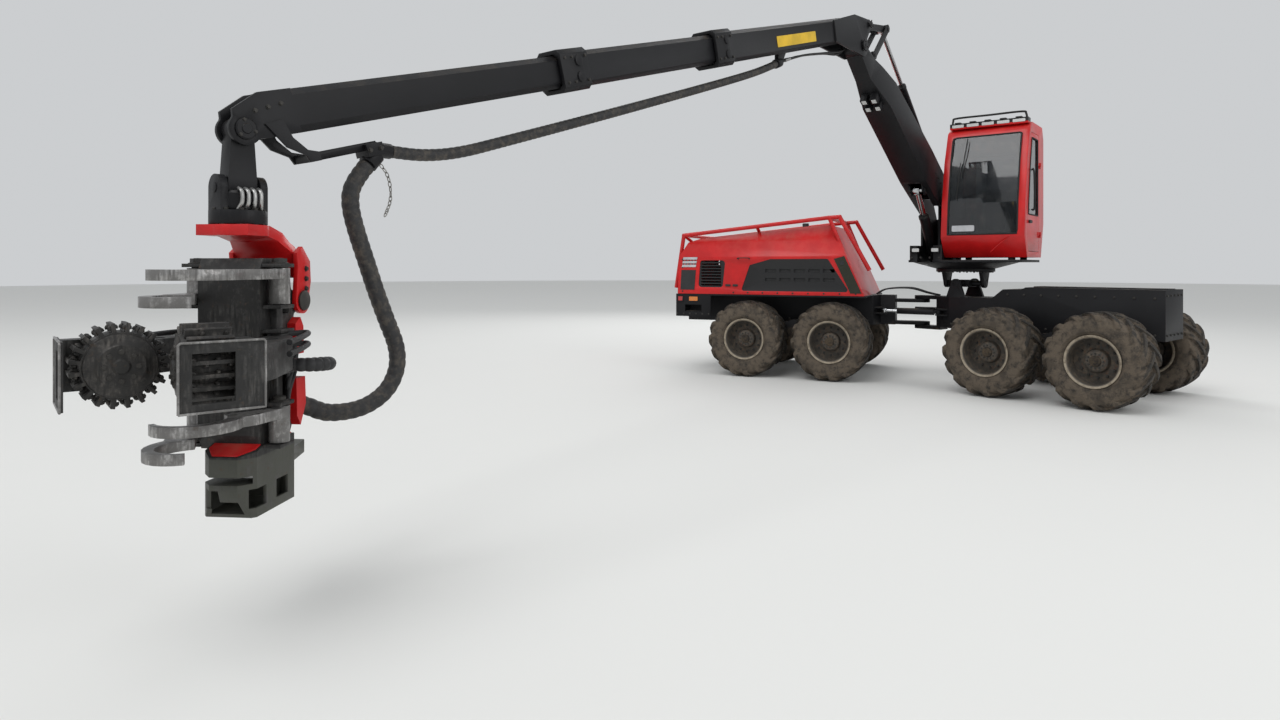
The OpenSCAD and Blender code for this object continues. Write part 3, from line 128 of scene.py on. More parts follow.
def turned(profile, sides=32, lobes=None, cap=True):
    """A profile of (radius, height) turned about Z: x = r cos t, y = r sin t.

    With lobes, r is that of a prism's side: r cos(pi / lobes) / cos(t - the side's middle).
    """
    profile = np.asarray(profile, float)
    t = np.linspace(0, 2 * np.pi, sides, endpoint=False)
    wide = np.ones(sides)
    if lobes:
        wide = np.cos(np.pi / lobes) / np.cos((t % (2 * np.pi / lobes)) - np.pi / lobes)
    r = profile[:, 0, None] * wide[None, :]
    z = np.broadcast_to(profile[:, 1, None], r.shape)
    return loft(np.stack([r * np.cos(t), r * np.sin(t), z], axis=-1), cap)


def spline(points, count):
    """A smooth line through points: cubics whose slope at a point is half the span of its neighbours."""
    p = np.asarray(points, float)
    ends = np.concatenate([p[:1], p, p[-1:]])
    t = np.linspace(0, len(p) - 1, count)
    i = np.minimum(t.astype(int), len(p) - 2)
    u = (t - i)[:, None]
    a, b, c, d = ends[i], ends[i + 1], ends[i + 2], ends[i + 3]
    return 0.5 * (2 * b + (c - a) * u + (2 * a - 5 * b + 4 * c - d) * u**2 + (3 * b - a - 3 * c + d) * u**3)


def carried(path, radius, sides=12, upright=(0, 0, 1)):
    """A round section carried along a path: centre + radius (cos t side + sin t up), square to the path."""
    path = np.asarray(path, float)
    along = np.gradient(path, axis=0)
    along /= np.linalg.norm(along, axis=1, keepdims=True)
    side = np.cross(along, np.asarray(upright, float))
    side /= np.maximum(np.linalg.norm(side, axis=1, keepdims=True), 1e-9)
    up = np.cross(side, along)
    t = np.linspace(0, 2 * np.pi, sides, endpoint=False)[None, :, None]
    r = np.broadcast_to(np.asarray(radius, float), (len(path),))[:, None, None]
    return loft(path[:, None] + r * (np.cos(t) * side[:, None] + np.sin(t) * up[:, None]))


def inset(outline, distance):
    """An outline moved inwards: each corner goes along the mean of its two edges' inner normals."""
    p = np.asarray(outline, float)
    edge = np.roll(p, -1, axis=0) - p
    edge /= np.linalg.norm(edge, axis=1, keepdims=True)
    normal = np.stack([-edge[:, 1], edge[:, 0]], axis=1)
    mean = normal + np.roll(normal, 1, axis=0)
    return p + distance * mean / np.maximum((mean**2).sum(1, keepdims=True) / 2, 0.35)


def plate(outline, thick, bevel=0.003):
    """An outline (anticlockwise) given a thickness along Z, with a bevel round both faces."""
    outline = np.asarray(outline, float)
    small = inset(outline, bevel)
    rows = [(small, 0), (outline, bevel), (outline, thick - bevel), (small, thick)]
    return loft([np.column_stack([line, np.full(len(line), z)]) for line, z in rows])


def rounded(width, depth, corner, steps=4):
    """A rectangle about the origin whose corners are quarter circles."""
    t = np.linspace(0, np.pi / 2, steps + 1)
    turns = [(1, 1, 0), (-1, 1, 1), (-1, -1, 2), (1, -1, 3)]
    return np.concatenate([np.column_stack([
        sx * (width / 2 - corner) + corner * np.cos(t + k * np.pi / 2),
        sy * (depth / 2 - corner) + corner * np.sin(t + k * np.pi / 2)]) for sx, sy, k in turns])


def dense(line, count):
    """A line of straight stretches with points at equal steps of its length."""
    run = np.concatenate([[0], np.cumsum(np.linalg.norm(np.diff(line, axis=0), axis=1))])
    at = np.linspace(0, run[-1], count)
    return np.stack([np.interp(at, run, line[:, k]) for k in range(3)], axis=1)


def sheet(outline, side, out, thick):
    """A flat sheet on a side wall: its outline in X and Z, its inner face at a distance from the middle."""
    inner, outer = (out, out + thick) if side > 0 else (-out - thick, -out)
    rows = [np.array([(x, y, z) for x, z in outline]) for y in (outer, inner)]
    return loft(rows)


class Part:
    """Surfaces of one piece, gathered with their finishes and made into one mesh at the origin."""

    def __init__(self):
        self.points, self.faces, self.finishes, self.count = [], [], [], 0

    def add(self, surface, place=np.eye(4), finish=0):
        """Adds a surface at a place."""
        points, faces = surface
        self.points.append(moved(points, place))
        self.faces += [[k + self.count for k in face] for face in faces]
        self.finishes += [finish] * len(faces)
        self.count += len(points)
        return self

    def repeat(self, surface, places, finish=0):
        """Adds one surface at many places, as one array product."""
        points, faces = surface
        places = np.asarray(places)
        if len(places):
            faces = [list(f) for f in faces]
            all_points = np.einsum("kij,nj->kni", places[:, :3, :3], points) + places[:, None, :3, 3]
            self.points.append(all_points.reshape(-1, 3))
            for k in range(len(places)):
                start = self.count + k * len(points)
                self.faces += [[i + start for i in f] for f in faces]
            self.finishes += [finish] * (len(faces) * len(places))
            self.count += len(points) * len(places)
        return self

    def pipe(self, line, count, place, radius, sides=10, upright=(0, 1, 0), finish=0):
        """Adds a round pipe along a smooth line through points."""
        return self.add(carried(moved(spline(line, count), place), radius, sides, upright), finish=finish)

    def slab(self, size, corner, thick, bevel, place, finish=0):
        """Adds a plate with rounded corners."""
        return self.add(plate(rounded(*size, corner), thick, bevel), place, finish)

    def bolts(self, width, high, places, carrier=np.eye(4)):
        """Adds bolt heads at places that are carried by another place."""
        return self.repeat(bolt(width, high), [carrier @ p for p in places], 1)

    def make(self, name, body, *materials, smooth=35):
        """Makes the mesh, gives it its materials and lets it ride on a body."""
        mesh = bpy.data.meshes.new(name)
        mesh.from_pydata(np.concatenate(self.points).tolist(), [], self.faces)
        mesh.polygons.foreach_set("material_index", self.finishes)
        mesh.polygons.foreach_set("use_smooth", [True] * len(mesh.polygons))
        mesh.set_sharp_from_angle(angle=smooth * DEG)
        mesh.update()
        piece = bpy.data.objects.new(name, mesh)
        bpy.context.scene.collection.objects.link(piece)
        for material in materials:
            mesh.materials.append(material)
        if body:
            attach(piece, body)
        return piece


def bolt(width, high):
    """A bolt head on its washer: a round disc, then a six-sided prism with a turned top edge."""
    disc, faces = turned([(0.72 * width, 0), (0.72 * width, 0.12 * high), (0.6 * width, 0.16 * high)], 12)
    nut, more = turned([(0.58 * width, 0.14 * high), (0.58 * width, 0.9 * high), (0.5 * width, high)], 12, lobes=6)
    return np.concatenate([disc, nut]), faces + [[k + len(disc) for k in face] for face in more]


def facing(x, y, z, towards):
    """A place at x, y, z whose Z looks along an axis named +x, -x, +y, -y, +z or -z."""
    turns = {"+z": np.eye(4), "-z": turn("x", 180), "+x": turn("y", 90), "-x": turn("y", -90),
             "+y": turn("x", -90), "-y": turn("x", 90)}
    return shift(x, y, z) @ turns[towards]


def ring_of(count, radius, height=0.0, start=0.0):
    """Places at equal steps round a circle about Z."""
    return [turn("z", start + 360 * k / count) @ shift(radius, 0, height) for k in range(count)]


def row_of(a, b, count, towards):
    """Places at equal steps from point a to point b, all looking the same way."""
    return [facing(*(np.asarray(a) + (np.asarray(b) - a) * t), towards) for t in np.linspace(0, 1, count)]


def on_walls(y, *rows, middle=0.0):
    """Places on both side walls, at a distance y from the middle, for rows of (x, z, x, z, count)."""
    return [spot for side, out in SIDES for x, z, x2, z2, count in rows
            for spot in row_of((x, middle + side * y, z), (x2, middle + side * y, z2), count, out)]


# Materials

class Wire:
    """A socket that takes part in sums: each operator adds one Math node."""

    def __init__(self, net, socket):
        self.net, self.socket = net, socket

    def _sum(self, operation, a, b):
        return self.net.add("Math", {"operation": operation}, {0: a, 1: b})

    def __add__(self, other):
        return self._sum("ADD", self, other)

    def __radd__(self, other):
        return self._sum("ADD", other, self)

    def __sub__(self, other):
        return self._sum("SUBTRACT", self, other)

    def __rsub__(self, other):
        return self._sum("SUBTRACT", other, self)

    def __mul__(self, other):
        return self._sum("MULTIPLY", self, other)

    def __rmul__(self, other):
        return self._sum("MULTIPLY", other, self)

    def __pow__(self, other):
        return self._sum("POWER", self, other)

    def least(self, other):
        """The smaller of two values."""
        return self._sum("MINIMUM", self, other)

    def step(self, low, high, start=0.0, end=1.0):
        """Goes smoothly from start to end as the value goes from low to high."""
        names = {"Value": self, "From Min": low, "From Max": high, "To Min": start, "To Max": end}
        return self.net.add("MapRange", {"interpolation_type": "SMOOTHSTEP"}, names)


class Net:
    """The nodes of one material, and the shader that they feed."""

    def __init__(self, name, **values):
        self.material = bpy.data.materials.new(name)
        self.material.use_nodes = True
        self.tree = self.material.node_tree
        self.shader = self.tree.nodes["Principled BSDF"]
        self.place = self.add("TexCoord", out="Object")
        sockets = {socket.name.lower().replace(" ", "_"): socket for socket in self.shader.inputs}
        for key, value in values.items():
            self.feed(sockets[key], value)

    def feed(self, socket, value):
        """Links a wire to a socket, or sets the socket to a number or a colour."""
        if isinstance(value, Wire):
            self.tree.links.new(value.socket, socket)
        elif isinstance(value, tuple) and socket.type == "RGBA":
            socket.default_value = (*value[:3], 1)
        else:
            socket.default_value = value

    def add(self, kind, settings=None, values=None, out=0):
        """Adds a node of a type, with its settings and what goes into its sockets, and gives its output."""
        node = self.tree.nodes.new("ShaderNode" + kind)
        for key, value in (settings or {}).items():
            setattr(node, key, value)
        for key, value in (values or {}).items():
            self.feed(node.inputs[key], value)
        return Wire(self, node.outputs[out])

    def noise(self, scale, detail=3.0, rough=0.55, at=None):
        """Cloudy variation between 0 and 1, of a size of about 1 / scale metres."""
        values = {"Vector": at or self.place, "Scale": scale, "Detail": detail, "Roughness": rough}
        return self.add("TexNoise", {}, values)

    def axis(self, name, of=None):
        """One coordinate of the place."""
        return self.add("SeparateXYZ", {}, {0: of or self.place}, out=name)

    def mix(self, mask, a, b):
        """Colour a where the mask is 0, colour b where it is 1."""
        node = self.tree.nodes.new("ShaderNodeMix")
        node.data_type = "RGBA"
        for socket, value in zip((node.inputs[0], node.inputs[6], node.inputs[7]), (mask, a, b)):
            self.feed(socket, value)
        return Wire(self, node.outputs[2])

    def facing_up(self):
        """1 on what looks up, 0 on walls and undersides."""
        return self.axis("Z", self.add("NewGeometry", out="Normal")).step(0.35, 0.95)

    def bump(self, height, deep, strength=1.0):
        """Makes the surface rise by deep metres where height is 1."""
        values = {"Height": height, "Distance": deep, "Strength": strength}
        self.feed(self.shader.inputs["Normal"], self.add("Bump", {}, values))

    def finish(self, colour=None, rough=None, metal=None):
        """Feeds the shader's colour, roughness and metal, and gives the material."""
        for name, value in (("Base Color", colour), ("Roughness", rough), ("Metallic", metal)):
            if value is not None:
                self.feed(self.shader.inputs[name], value)
        return self.material


DUST = (0.2, 0.155, 0.105)
MUD = (0.1, 0.075, 0.05)
BARE = (0.16, 0.15, 0.14)
TRIM = (0.012, 0.012, 0.013)
FINISHES = {}


def finish_of(name, build):
    """The material of a name, built the first time that it is asked for."""
    if name not in FINISHES:
        FINISHES[name] = build(name)
    return FINISHES[name]


def paint(name, colour, rough=0.34, dust=0.5, low=1.5, chips=0.0, gloss=0.16, panels=None):
    """Sprayed paint: faint clouds, dust on what looks up, splashed soil near the ground, chips down to metal.

    panels gives a mask, 1 on the parts that are sprayed black.
    """
    net = Net(name, coat_weight=gloss, coat_roughness=0.2, specular_ior_level=0.2 + 0.8 * gloss)
    clouds = net.noise(3.5, 4)
    fine = net.noise(42, 3)
    dark = tuple(0.78 * c for c in colour)
    body = net.mix(clouds.step(0.3, 0.75), dark, colour)
    if panels:
        body = net.mix(panels(net), body, TRIM)
    settled = net.facing_up() * net.noise(7, 5, 0.65).step(0.38, 0.72) * dust
    soil = net.noise(9, 6, 0.7)
    splash = (soil + net.axis("Z").step(low - 0.9, low, 0.2, -0.35)).step(0.5, 0.78)
    body = net.mix(settled, body, DUST)
    body = net.mix(splash * 0.75, body, MUD)
    wear = net.noise(21, 8, 0.75).step(0.66, 0.72) * chips
    body = net.mix(wear, body, BARE)
    net.bump(soil * splash * 0.8 + fine * 0.08 - wear * 0.1, 0.003, 0.5)
    return net.finish(body, (rough + settled * 0.35 + splash * 0.4 + fine * 0.06).least(0.95), wear * 0.7)


def within(value, low, high):
    """1 where a value lies between two limits, 0 elsewhere."""
    return value.step(low - 0.001, low) * value.step(high, high + 0.001, 1.0, 0.0)


def vector(net, operation, a, b=None, out=0):
    """A Vector Math node on a wire and, where one is given, a column of a place."""
    values = {0: a} if b is None else {0: a, 1: tuple(b[:3])}
    return net.add("VectorMath", {"operation": operation}, values, out)


def local(net, place, column):
    """A coordinate along one axis of a place."""
    return vector(net, "DOT_PRODUCT", vector(net, "SUBTRACT", net.place, place[:, 3]), place[:, column], "Value")


def from_axle(net, place):
    """The distance from a wheel's axle: the root of the squared length less the square along the axle."""
    far = vector(net, "LENGTH", vector(net, "SUBTRACT", net.place, place[:, 3]), out="Value")
    sideways = local(net, place, 2)
    return (far * far - sideways * sideways) ** 0.5


def hood_panels(net):
    """The slotted panels that stand behind the hood's openings."""
    across = local(net, REAR, 1)
    inside = (across * across) ** 0.5
    ahead = local(net, REAR, 0)
    return within(inside, 1.03, 1.0675) * within(ahead, -3.95, -1.1) * within(net.axis("Z"), 1.49, 2.12)


def cab_panels(net):
    """The rail under the cab's roof edge."""
    return net.axis("Z").step(4.352, 4.354)


def worked_steel(name, colour, polish, rough=0.42, metal=0.8, low=None):
    """Steel that rubs on bark: dark scale, streaks along the wear and brighter polished patches.

    low is the colour and the height below which the steel has been scraped pale, on the saw box.
    """
    net = Net(name)
    patches = net.noise(11, 6, 0.7).step(0.42, 0.66)
    stretched = net.add("Mapping", {}, {"Vector": net.place, "Scale": (60.0, 60.0, 7.0)})
    streaks = net.noise(1.0, 4, 0.6, stretched)
    if low:
        colour = net.mix(net.axis("Z").step(low[1] - 0.01, low[1], 1.0, 0.0), colour, low[0])
    body = net.mix(patches * streaks.step(0.3, 0.7), colour, polish)
    body = net.mix(net.noise(24, 5, 0.7).step(0.58, 0.75) * 0.7, body, (0.07, 0.045, 0.028))
    net.bump(streaks * 0.5 + patches * 0.5, 0.0015, 0.6)
    return net.finish(body, rough + streaks * 0.25 - patches * 0.12, metal * patches.step(0, 1, 0.35, 1))


def tyre_rubber(name, place):
    """Rubber caked with soil: the lugs' faces stay dark, the sides and gaps hold pale dried mud."""
    net = Net(name, specular_ior_level=0.3)
    radius = from_axle(net, place)
    clumps = net.noise(10, 7, 0.72)
    grains = net.noise(70, 4, 0.7)
    between = radius.step(0.632, 0.662, 1.0, 0.0)
    caked = (clumps + between * 0.16).step(0.46, 0.72)
    rubber = net.mix(grains.step(0.3, 0.7), (0.018, 0.017, 0.016), (0.042, 0.038, 0.033))
    dried = net.mix(grains, (0.085, 0.066, 0.048), (0.15, 0.12, 0.09))
    body = net.mix(caked * 0.85, rubber, dried)
    wet = net.noise(4, 3).step(0.5, 0.66)
    body = net.mix(wet * 0.6, body, (0.035, 0.028, 0.021))
    net.bump(caked * 0.7 + grains * 0.3, 0.008, 0.8)
    return net.finish(body, (0.8 + grains * 0.15 - wet * 0.2).least(0.97))


def rim_steel(name, place):
    """A rim: pale scraped lips, and inside them a dusty barrel and disc painted dark as painted shade of the wheel's
    recess, with rust by the bolts.
    """
    net = Net(name)
    radius = from_axle(net, place)
    lip = radius.step(0.325, 0.345)
    soil = net.noise(13, 6, 0.7)
    # painted shade: inside the lips the barrel and disc are coloured near black for the shade in the wheel's recess
    body = net.mix(lip, (0.05, 0.044, 0.037), (0.34, 0.29, 0.22))
    body = net.mix(soil.step(0.42, 0.7) * 0.8, body, (0.13, 0.1, 0.07))
    rust = radius.step(0.3, 0.24) * net.noise(30, 4).step(0.55, 0.7)
    body = net.mix(rust * 0.6, body, (0.13, 0.055, 0.025))
    net.bump(soil, 0.004, 0.5)
    return net.finish(body, 0.55 + soil * 0.35, lip * 0.25)


def plain(name, colour, rough, metal=0.0, grain=90.0, deep=0.0006, **values):
    """A moulded or turned surface: fine grain in its colour, its gloss and its height."""
    net = Net(name, **values)
    fine = net.noise(grain, 4, 0.6)
    wide = net.noise(grain / 12, 3)
    body = net.mix(wide.step(0.3, 0.75) * 0.6 + fine * 0.2, colour, tuple(0.6 * c for c in colour))
    net.bump(fine, deep, 0.5)
    return net.finish(body, (rough + wide * 0.1 + fine * 0.08).least(0.97), metal)


def pane(name, colour):
    """Tinted safety glass with a dusty bloom in clouds."""
    net = Net(name, transmission_weight=0.85, ior=1.45, coat_weight=0.4)
    bloom = net.noise(6, 5, 0.65).step(0.45, 0.8)
    return net.finish(net.mix(bloom * 0.35, colour, (0.35, 0.34, 0.31)), 0.02 + bloom * 0.12)


def woven(name, colour):
    """Seat cloth: two crossed sets of ribs 3 mm apart with a soft nap."""
    net = Net(name, sheen_weight=0.4)
    ribs = {"Vector": net.place, "Scale": 55.0, "Distortion": 0.5}
    across = net.add("TexWave", {"bands_direction": "X"}, ribs)
    along = net.add("TexWave", {"bands_direction": "Z"}, ribs)
    weave = across * along
    net.bump(weave, 0.0012, 0.8)
    body = net.mix(weave * 0.8 + net.noise(5) * 0.2, tuple(0.5 * c for c in colour), colour)
    return net.finish(body, 0.85 + weave * 0.1)


def wrapped_rubber(name, colour):
    """A hose in its spiral guard, soiled: the turns are in the mesh, the dust in the colour."""
    net = Net(name)
    soil = net.noise(16, 6, 0.7)
    body = net.mix(soil.step(0.42, 0.72) * 0.75, colour, (0.1, 0.085, 0.068))
    net.bump(net.noise(80, 4), 0.001, 0.5)
    return net.finish(body, 0.45 + soil * 0.4)


def lens(name, colour):
    """A moulded lens: ribs 6 mm apart under a glossy face."""
    net = Net(name, coat_weight=0.6, specular_ior_level=0.7)
    ribs = net.add("TexWave", {"bands_direction": "Z"}, {"Vector": net.place, "Scale": 26.0})
    net.bump(ribs, 0.001, 0.6)
    return net.finish(net.mix(ribs, tuple(0.6 * c for c in colour), colour), 0.12 + ribs * 0.1)


BUILDERS = {
    "red": lambda name: paint(name, tuple(settings().red), 0.3, 0.3, 1.2),
    "hood_red": lambda name: paint(name, tuple(settings().red), 0.3, 0.3, 1.2, panels=hood_panels),
    "cab_red": lambda name: paint(name, tuple(settings().red), 0.3, 0.3, 1.2, panels=cab_panels),
    "plank": lambda name: paint(name, (0.035, 0.037, 0.026), 0.6, 0.8, 1.2, 0.3, gloss=0.0),
    "pale": lambda name: plain(name, (0.55, 0.56, 0.58), 0.45, 0.0, 60.0, 0.0003),
    "black": lambda name: paint(name, tuple(settings().black), 0.5, 0.35, 1.45, 0.25, gloss=0.02),
    "crane_black": lambda name: paint(name, tuple(settings().black), 0.42, 0.2, -1.0, 0.12, gloss=0.03),
    "head_black": lambda name: worked_steel(name, (0.016, 0.0155, 0.015), (0.085, 0.082, 0.078), 0.5, 0.5,
                                                low=((0.06, 0.062, 0.05), HEAD[2, 3] + 0.4)),
    "head_red": lambda name: paint(name, tuple(settings().red), 0.38, 0.3, -1.0, 0.8),
    "knife": lambda name: worked_steel(name, (0.15, 0.145, 0.14), (0.5, 0.49, 0.48), 0.32, 0.9),
    "spikes": lambda name: worked_steel(name, (0.018, 0.017, 0.016), (0.12, 0.11, 0.1), 0.5, 0.6),
    "zinc": lambda name: plain(name, (0.33, 0.32, 0.3), 0.36, 0.85),
    "dark_bolt": lambda name: plain(name, (0.05, 0.047, 0.043), 0.5, 0.5),
    "chrome": lambda name: plain(name, (0.62, 0.63, 0.64), 0.1, 1.0, 200.0, 0.0001),
    "silver": lambda name: plain(name, (0.5, 0.5, 0.49), 0.28, 0.95),
    "glass": lambda name: pane(name, tuple(settings().glass)),
    "cloth": lambda name: woven(name, (0.035, 0.035, 0.038)),
    "plastic": lambda name: plain(name, (0.02, 0.02, 0.021), 0.55, 0.0, 120.0),
    "seal": lambda name: plain(name, (0.012, 0.012, 0.012), 0.7, 0.0, 150.0),
    "hose": lambda name: wrapped_rubber(name, (0.016, 0.016, 0.017)),
    "thin_hose": lambda name: plain(name, (0.014, 0.014, 0.015), 0.5, 0.0, 110.0),
    "grey": lambda name: plain(name, (0.3, 0.29, 0.27), 0.55, 0.2),
    "iron": lambda name: paint(name, (0.09, 0.095, 0.1), 0.5, 0.6, 1.2, 0.3),
    "yellow": lambda name: plain(name, (0.8, 0.5, 0.01), 0.4, 0.0, 60.0, 0.0003),
    "clear_lens": lambda name: lens(name, (0.72, 0.73, 0.72)),
    "amber_lens": lambda name: lens(name, (0.75, 0.22, 0.02)),
    "red_lens": lambda name: lens(name, (0.5, 0.015, 0.015)),
}


def finishes(*names):
    """The materials of some names."""
    return [finish_of(name, BUILDERS[name]) for name in names]


def dress(node, material, bevel=0.004, slot=None):
    """Gives a CAD node its material, softens its edges and shades its round faces smooth."""
    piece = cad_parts[node]
    piece.data.materials.clear()
    piece.data.materials.append(material)
    weld = piece.modifiers.new("weld", "WELD")
    weld.merge_threshold = 0.00005
    if bevel:
        edge = piece.modifiers.new("edges", "BEVEL")
        edge.width, edge.segments, edge.limit_method, edge.angle_limit = bevel, 2, "ANGLE", 38 * DEG
        edge.harden_normals = True
        piece.data.polygons.foreach_set("use_smooth", [True] * len(piece.data.polygons))


# Sizes and colours that a user would change

class HarvesterSettings(bpy.types.PropertyGroup):
    """Sizes and colours of the finish."""

    red: FloatVectorProperty(name="Red", description="Paint of hood, cab and head", subtype="COLOR", size=3,
                             default=(0.58, 0.009, 0.01), min=0, max=1)
    black: FloatVectorProperty(name="Black", description="Paint of frames and crane", subtype="COLOR", size=3,
                               default=(0.009, 0.009, 0.0105), min=0, max=1)
    glass: FloatVectorProperty(name="Glass", description="Tint of the cab's windows", subtype="COLOR", size=3,
                               default=(0.1, 0.11, 0.12), min=0, max=1)
    floor: FloatVectorProperty(name="Floor", description="Colour of the stage", subtype="COLOR", size=3,
                               default=(0.72, 0.72, 0.7), min=0, max=1)
    bolt: FloatProperty(name="Bolt", description="Width of a wheel bolt's head", subtype="DISTANCE", unit="LENGTH",
                        default=0.03, min=0.015, max=0.05)
    spike: FloatProperty(name="Spike", description="Height of a spike on a feed roller", subtype="DISTANCE",
                         unit="LENGTH", default=0.022, min=0.01, max=0.03)
    wrap: FloatProperty(name="Wrap", description="Width of one turn of the hose guard", subtype="DISTANCE",
                        unit="LENGTH", default=0.055, min=0.03, max=0.09)
    nuts: IntProperty(name="Rim bolts", description="Bolts round the disc of one rim", default=12, min=6, max=20)


def settings():
    """The sizes and colours in use."""
    return bpy.context.scene.harvester


# The photograph, in pixels: its focal length, its size and the row of its horizon
FOCAL, WIDTH, HEIGHT, HORIZON = 784, 1280, 720, 265.3


class StageStep(bpy.types.Operator):
    """Camera at the photograph's angle, soft lamps, plain floor"""

    bl_idname = "harvester.stage"
    bl_label = "Stage"

    def execute(self, context):
        """Sets up what shows the machine."""
        scene = bpy.context.scene
        scene.view_settings.view_transform = "Standard"
        camera = bpy.data.objects.new("camera", bpy.data.cameras.new("camera"))
        scene.collection.objects.link(camera)
        camera.location = (6.57, -13.05, 1.988)
        camera.rotation_euler = (math.pi / 2, 0, math.atan2(0.6526, -0.7577) - math.pi / 2)
        camera.data.lens = FOCAL / WIDTH * camera.data.sensor_width
        camera.data.shift_y = (HORIZON - HEIGHT / 2) / WIDTH
        camera.data.clip_end = 300
        scene.camera = camera
        for name, place, size, power in (
                ("key", (4, -26, 30), 24, 5600), ("fill", (16, -2, 9), 12, 800), ("back", (-12, 8, 12), 12, 900)):
            lamp = bpy.data.objects.new(name, bpy.data.lights.new(name, "AREA"))
            lamp.data.size, lamp.data.energy = size, power
            lamp.location = place
            aim = np.asarray((0.5, -4, 1.5)) - place
            flat = math.hypot(aim[0], aim[1])
            lamp.rotation_euler = (math.atan2(flat, -aim[2]), 0, math.atan2(-aim[0], aim[1]))
            scene.collection.objects.link(lamp)
        world = bpy.data.worlds.new("studio")
        scene.world = world
        world.use_nodes = True
        shade = world.node_tree.nodes["Background"]
        shade.inputs["Color"].default_value = (0.86, 0.88, 0.9, 1)
        shade.inputs["Strength"].default_value = 0.7
        self.floor()
        return {"FINISHED"}

    def floor(self):
        """A wide disc: rings of radius r at height 0, out to 90 m."""
        points, faces = turned([(POLE, -0.001), (8, -0.001), (30, -0.001), (90, -0.001)], 64, cap=False)
        net = Net("floor")
        body = net.mix(net.noise(0.6, 2) * 0.1, tuple(settings().floor), (0.6, 0.6, 0.59))
        floor = Part().add((points, faces)).make("floor", None, net.finish(body, 0.85))


def outer_point(x, y, z):
    """A point of the outer boom's frame, in metres, in the crane's frame."""
    c, s = math.cos(OUTER_ANGLE * DEG), math.sin(OUTER_ANGLE * DEG)
    return (ELBOW[0] + x * c + z * s, y, ELBOW[1] - x * s + z * c)


def head_point(x, y, z):
    """A point of the head's frame, in metres, in the crane's frame."""
    c, s = math.cos(33 * DEG), math.sin(33 * DEG)
    tip = outer_point(TIP_ALONG, 0, OUTER_UP - 0.06)
    return (tip[0] + x * c - y * s, x * s + y * c, tip[2] - 2.2 + z)


BOOM_ROUTE = [outer_point(*p) for p in (
    (2.4, 0, -0.02), (2.987, 0.015, -0.07), (3.935, 0.025, -0.11), (5.518, 0.025, -0.16), (6.887, 0.015, -0.195),
    (7.36, 0.005, -0.2), (7.67, 0, -0.165), (7.925, 0, -0.095))]
HEAD_STEPS = ((-815, 0, -110), (-755, 0, -185), (-700, 0, -280), (-695, 0, -390), (-735, 0, -540), (-803, 0, -727),
              (-878, 0, -932), (-958, 0, -1127), (-1028, 0, -1297), (-1033, 0, -1447), (-958, -15, -1592),
              (-803, -50, -1682), (-603, -95, -1690))


class CordStep(bpy.types.Operator):
    """The hose bundle under the outer boom and the one to the head"""

    bl_idname = "harvester.cords"
    bl_label = "Hoses"

    def hose(self, name, body, node, route, diameter, **facts):
        """A tube whose radius swells once a turn of its guard: r (0.9 + 0.1 |sin(pi length / turn)| to 0.45)."""
        path = moved(spline(route, 40), CRANE)
        run = np.concatenate([[0], np.cumsum(np.linalg.norm(np.diff(path, axis=0), axis=1))])
        steps = int(run[-1] / settings().wrap * 6)
        at = np.linspace(0, run[-1], steps)
        fine = np.stack([np.interp(at, run, path[:, k]) for k in range(3)], axis=1)
        kernel = np.hanning(15) / np.hanning(15).sum()
        padded = np.concatenate([np.repeat(fine[:1], 7, 0), fine, np.repeat(fine[-1:], 7, 0)])
        soft = np.stack([np.convolve(padded[:, k], kernel, "valid") for k in range(3)], axis=1)
        wave = np.abs(np.sin(np.pi * at / settings().wrap)) ** 0.45
        radius = diameter / 2 * (0.9 + 0.1 * wave)
        part = Part().add(carried(soft, radius, 20, upright=(0.3, 0.9, 0.2)))
        piece = part.make(name, body, *finishes("hose"), smooth=60)
        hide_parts(node)
        return piece

    def execute(self, context):
        """Makes both hoses."""
        tip = outer_point(TIP_ALONG, 0, OUTER_UP - 0.06)
        head_route = [(tip[0] + x / 1000, y / 1000, tip[2] + z / 1000) for x, y, z in HEAD_STEPS]
        head_route += [head_point(-0.482, 0.161, 0.56), head_point(-0.395, 0.062, 0.62)]
        ends = {"far_end": "object", "lay": "hanging"}
        self.hose("boom_hose_bundle", "outer_boom_body", "boom_hose", BOOM_ROUTE, 0.085, **ends)
        self.hose("head_hose_bundle", "boom_c_body", "head_hose", head_route, 0.11, **ends)
        return {"FINISHED"}


class FinishStep(bpy.types.Operator):
    """Paint, rubber, steel and glass of the machine's solids"""

    bl_idname = "harvester.finishes"
    bl_label = "Finishes"

    def execute(self, context):
        """Gives each solid its material."""
        groups = (
            ("black", 0.005, "front_frame front_axle rear_frame rear_axle level_cross level_ring turntable "
                             "steer_barrel_r steer_barrel_l"),
            ("crane_black", 0.005, "main_boom lift_barrel outer_boom jib_barrel jib_link jib_tie boom_b boom_c "
                                   "tip_link rotator"),
            ("red", 0.006, "hood_guard door"), ("hood_red", 0.006, "hood"), ("cab_red", 0.006, "cab"),
            ("head_red", 0.006, "tilt_frame"),
            ("head_black", 0.004, "head_frame roller_arm_r roller_arm_l"),
            ("knife", 0.006, "knife_r knife_l low_knife_r low_knife_l"), ("spikes", 0.003, "roller_r roller_l"),
            ("silver", 0.0, "saw_bar"), ("chrome", 0.002, "steer_rod_r steer_rod_l lift_rod jib_rod"),
            ("iron", 0.01, "engine"), ("cloth", 0.02, "seat"), ("glass", 0.0, "cab_glass door_glass"))
        for finish, bevel, nodes in groups:
            for node in nodes.split():
                dress(node, finishes(finish)[0], bevel)
        for name in WHEELS:
            place = wheel_place(name)
            dress("tyre_" + name, tyre_rubber("tyre_soil_" + name, place), 0.012)
            dress("rim_" + name, rim_steel("rim_paint_" + name, place), 0.004)
        return {"FINISHED"}


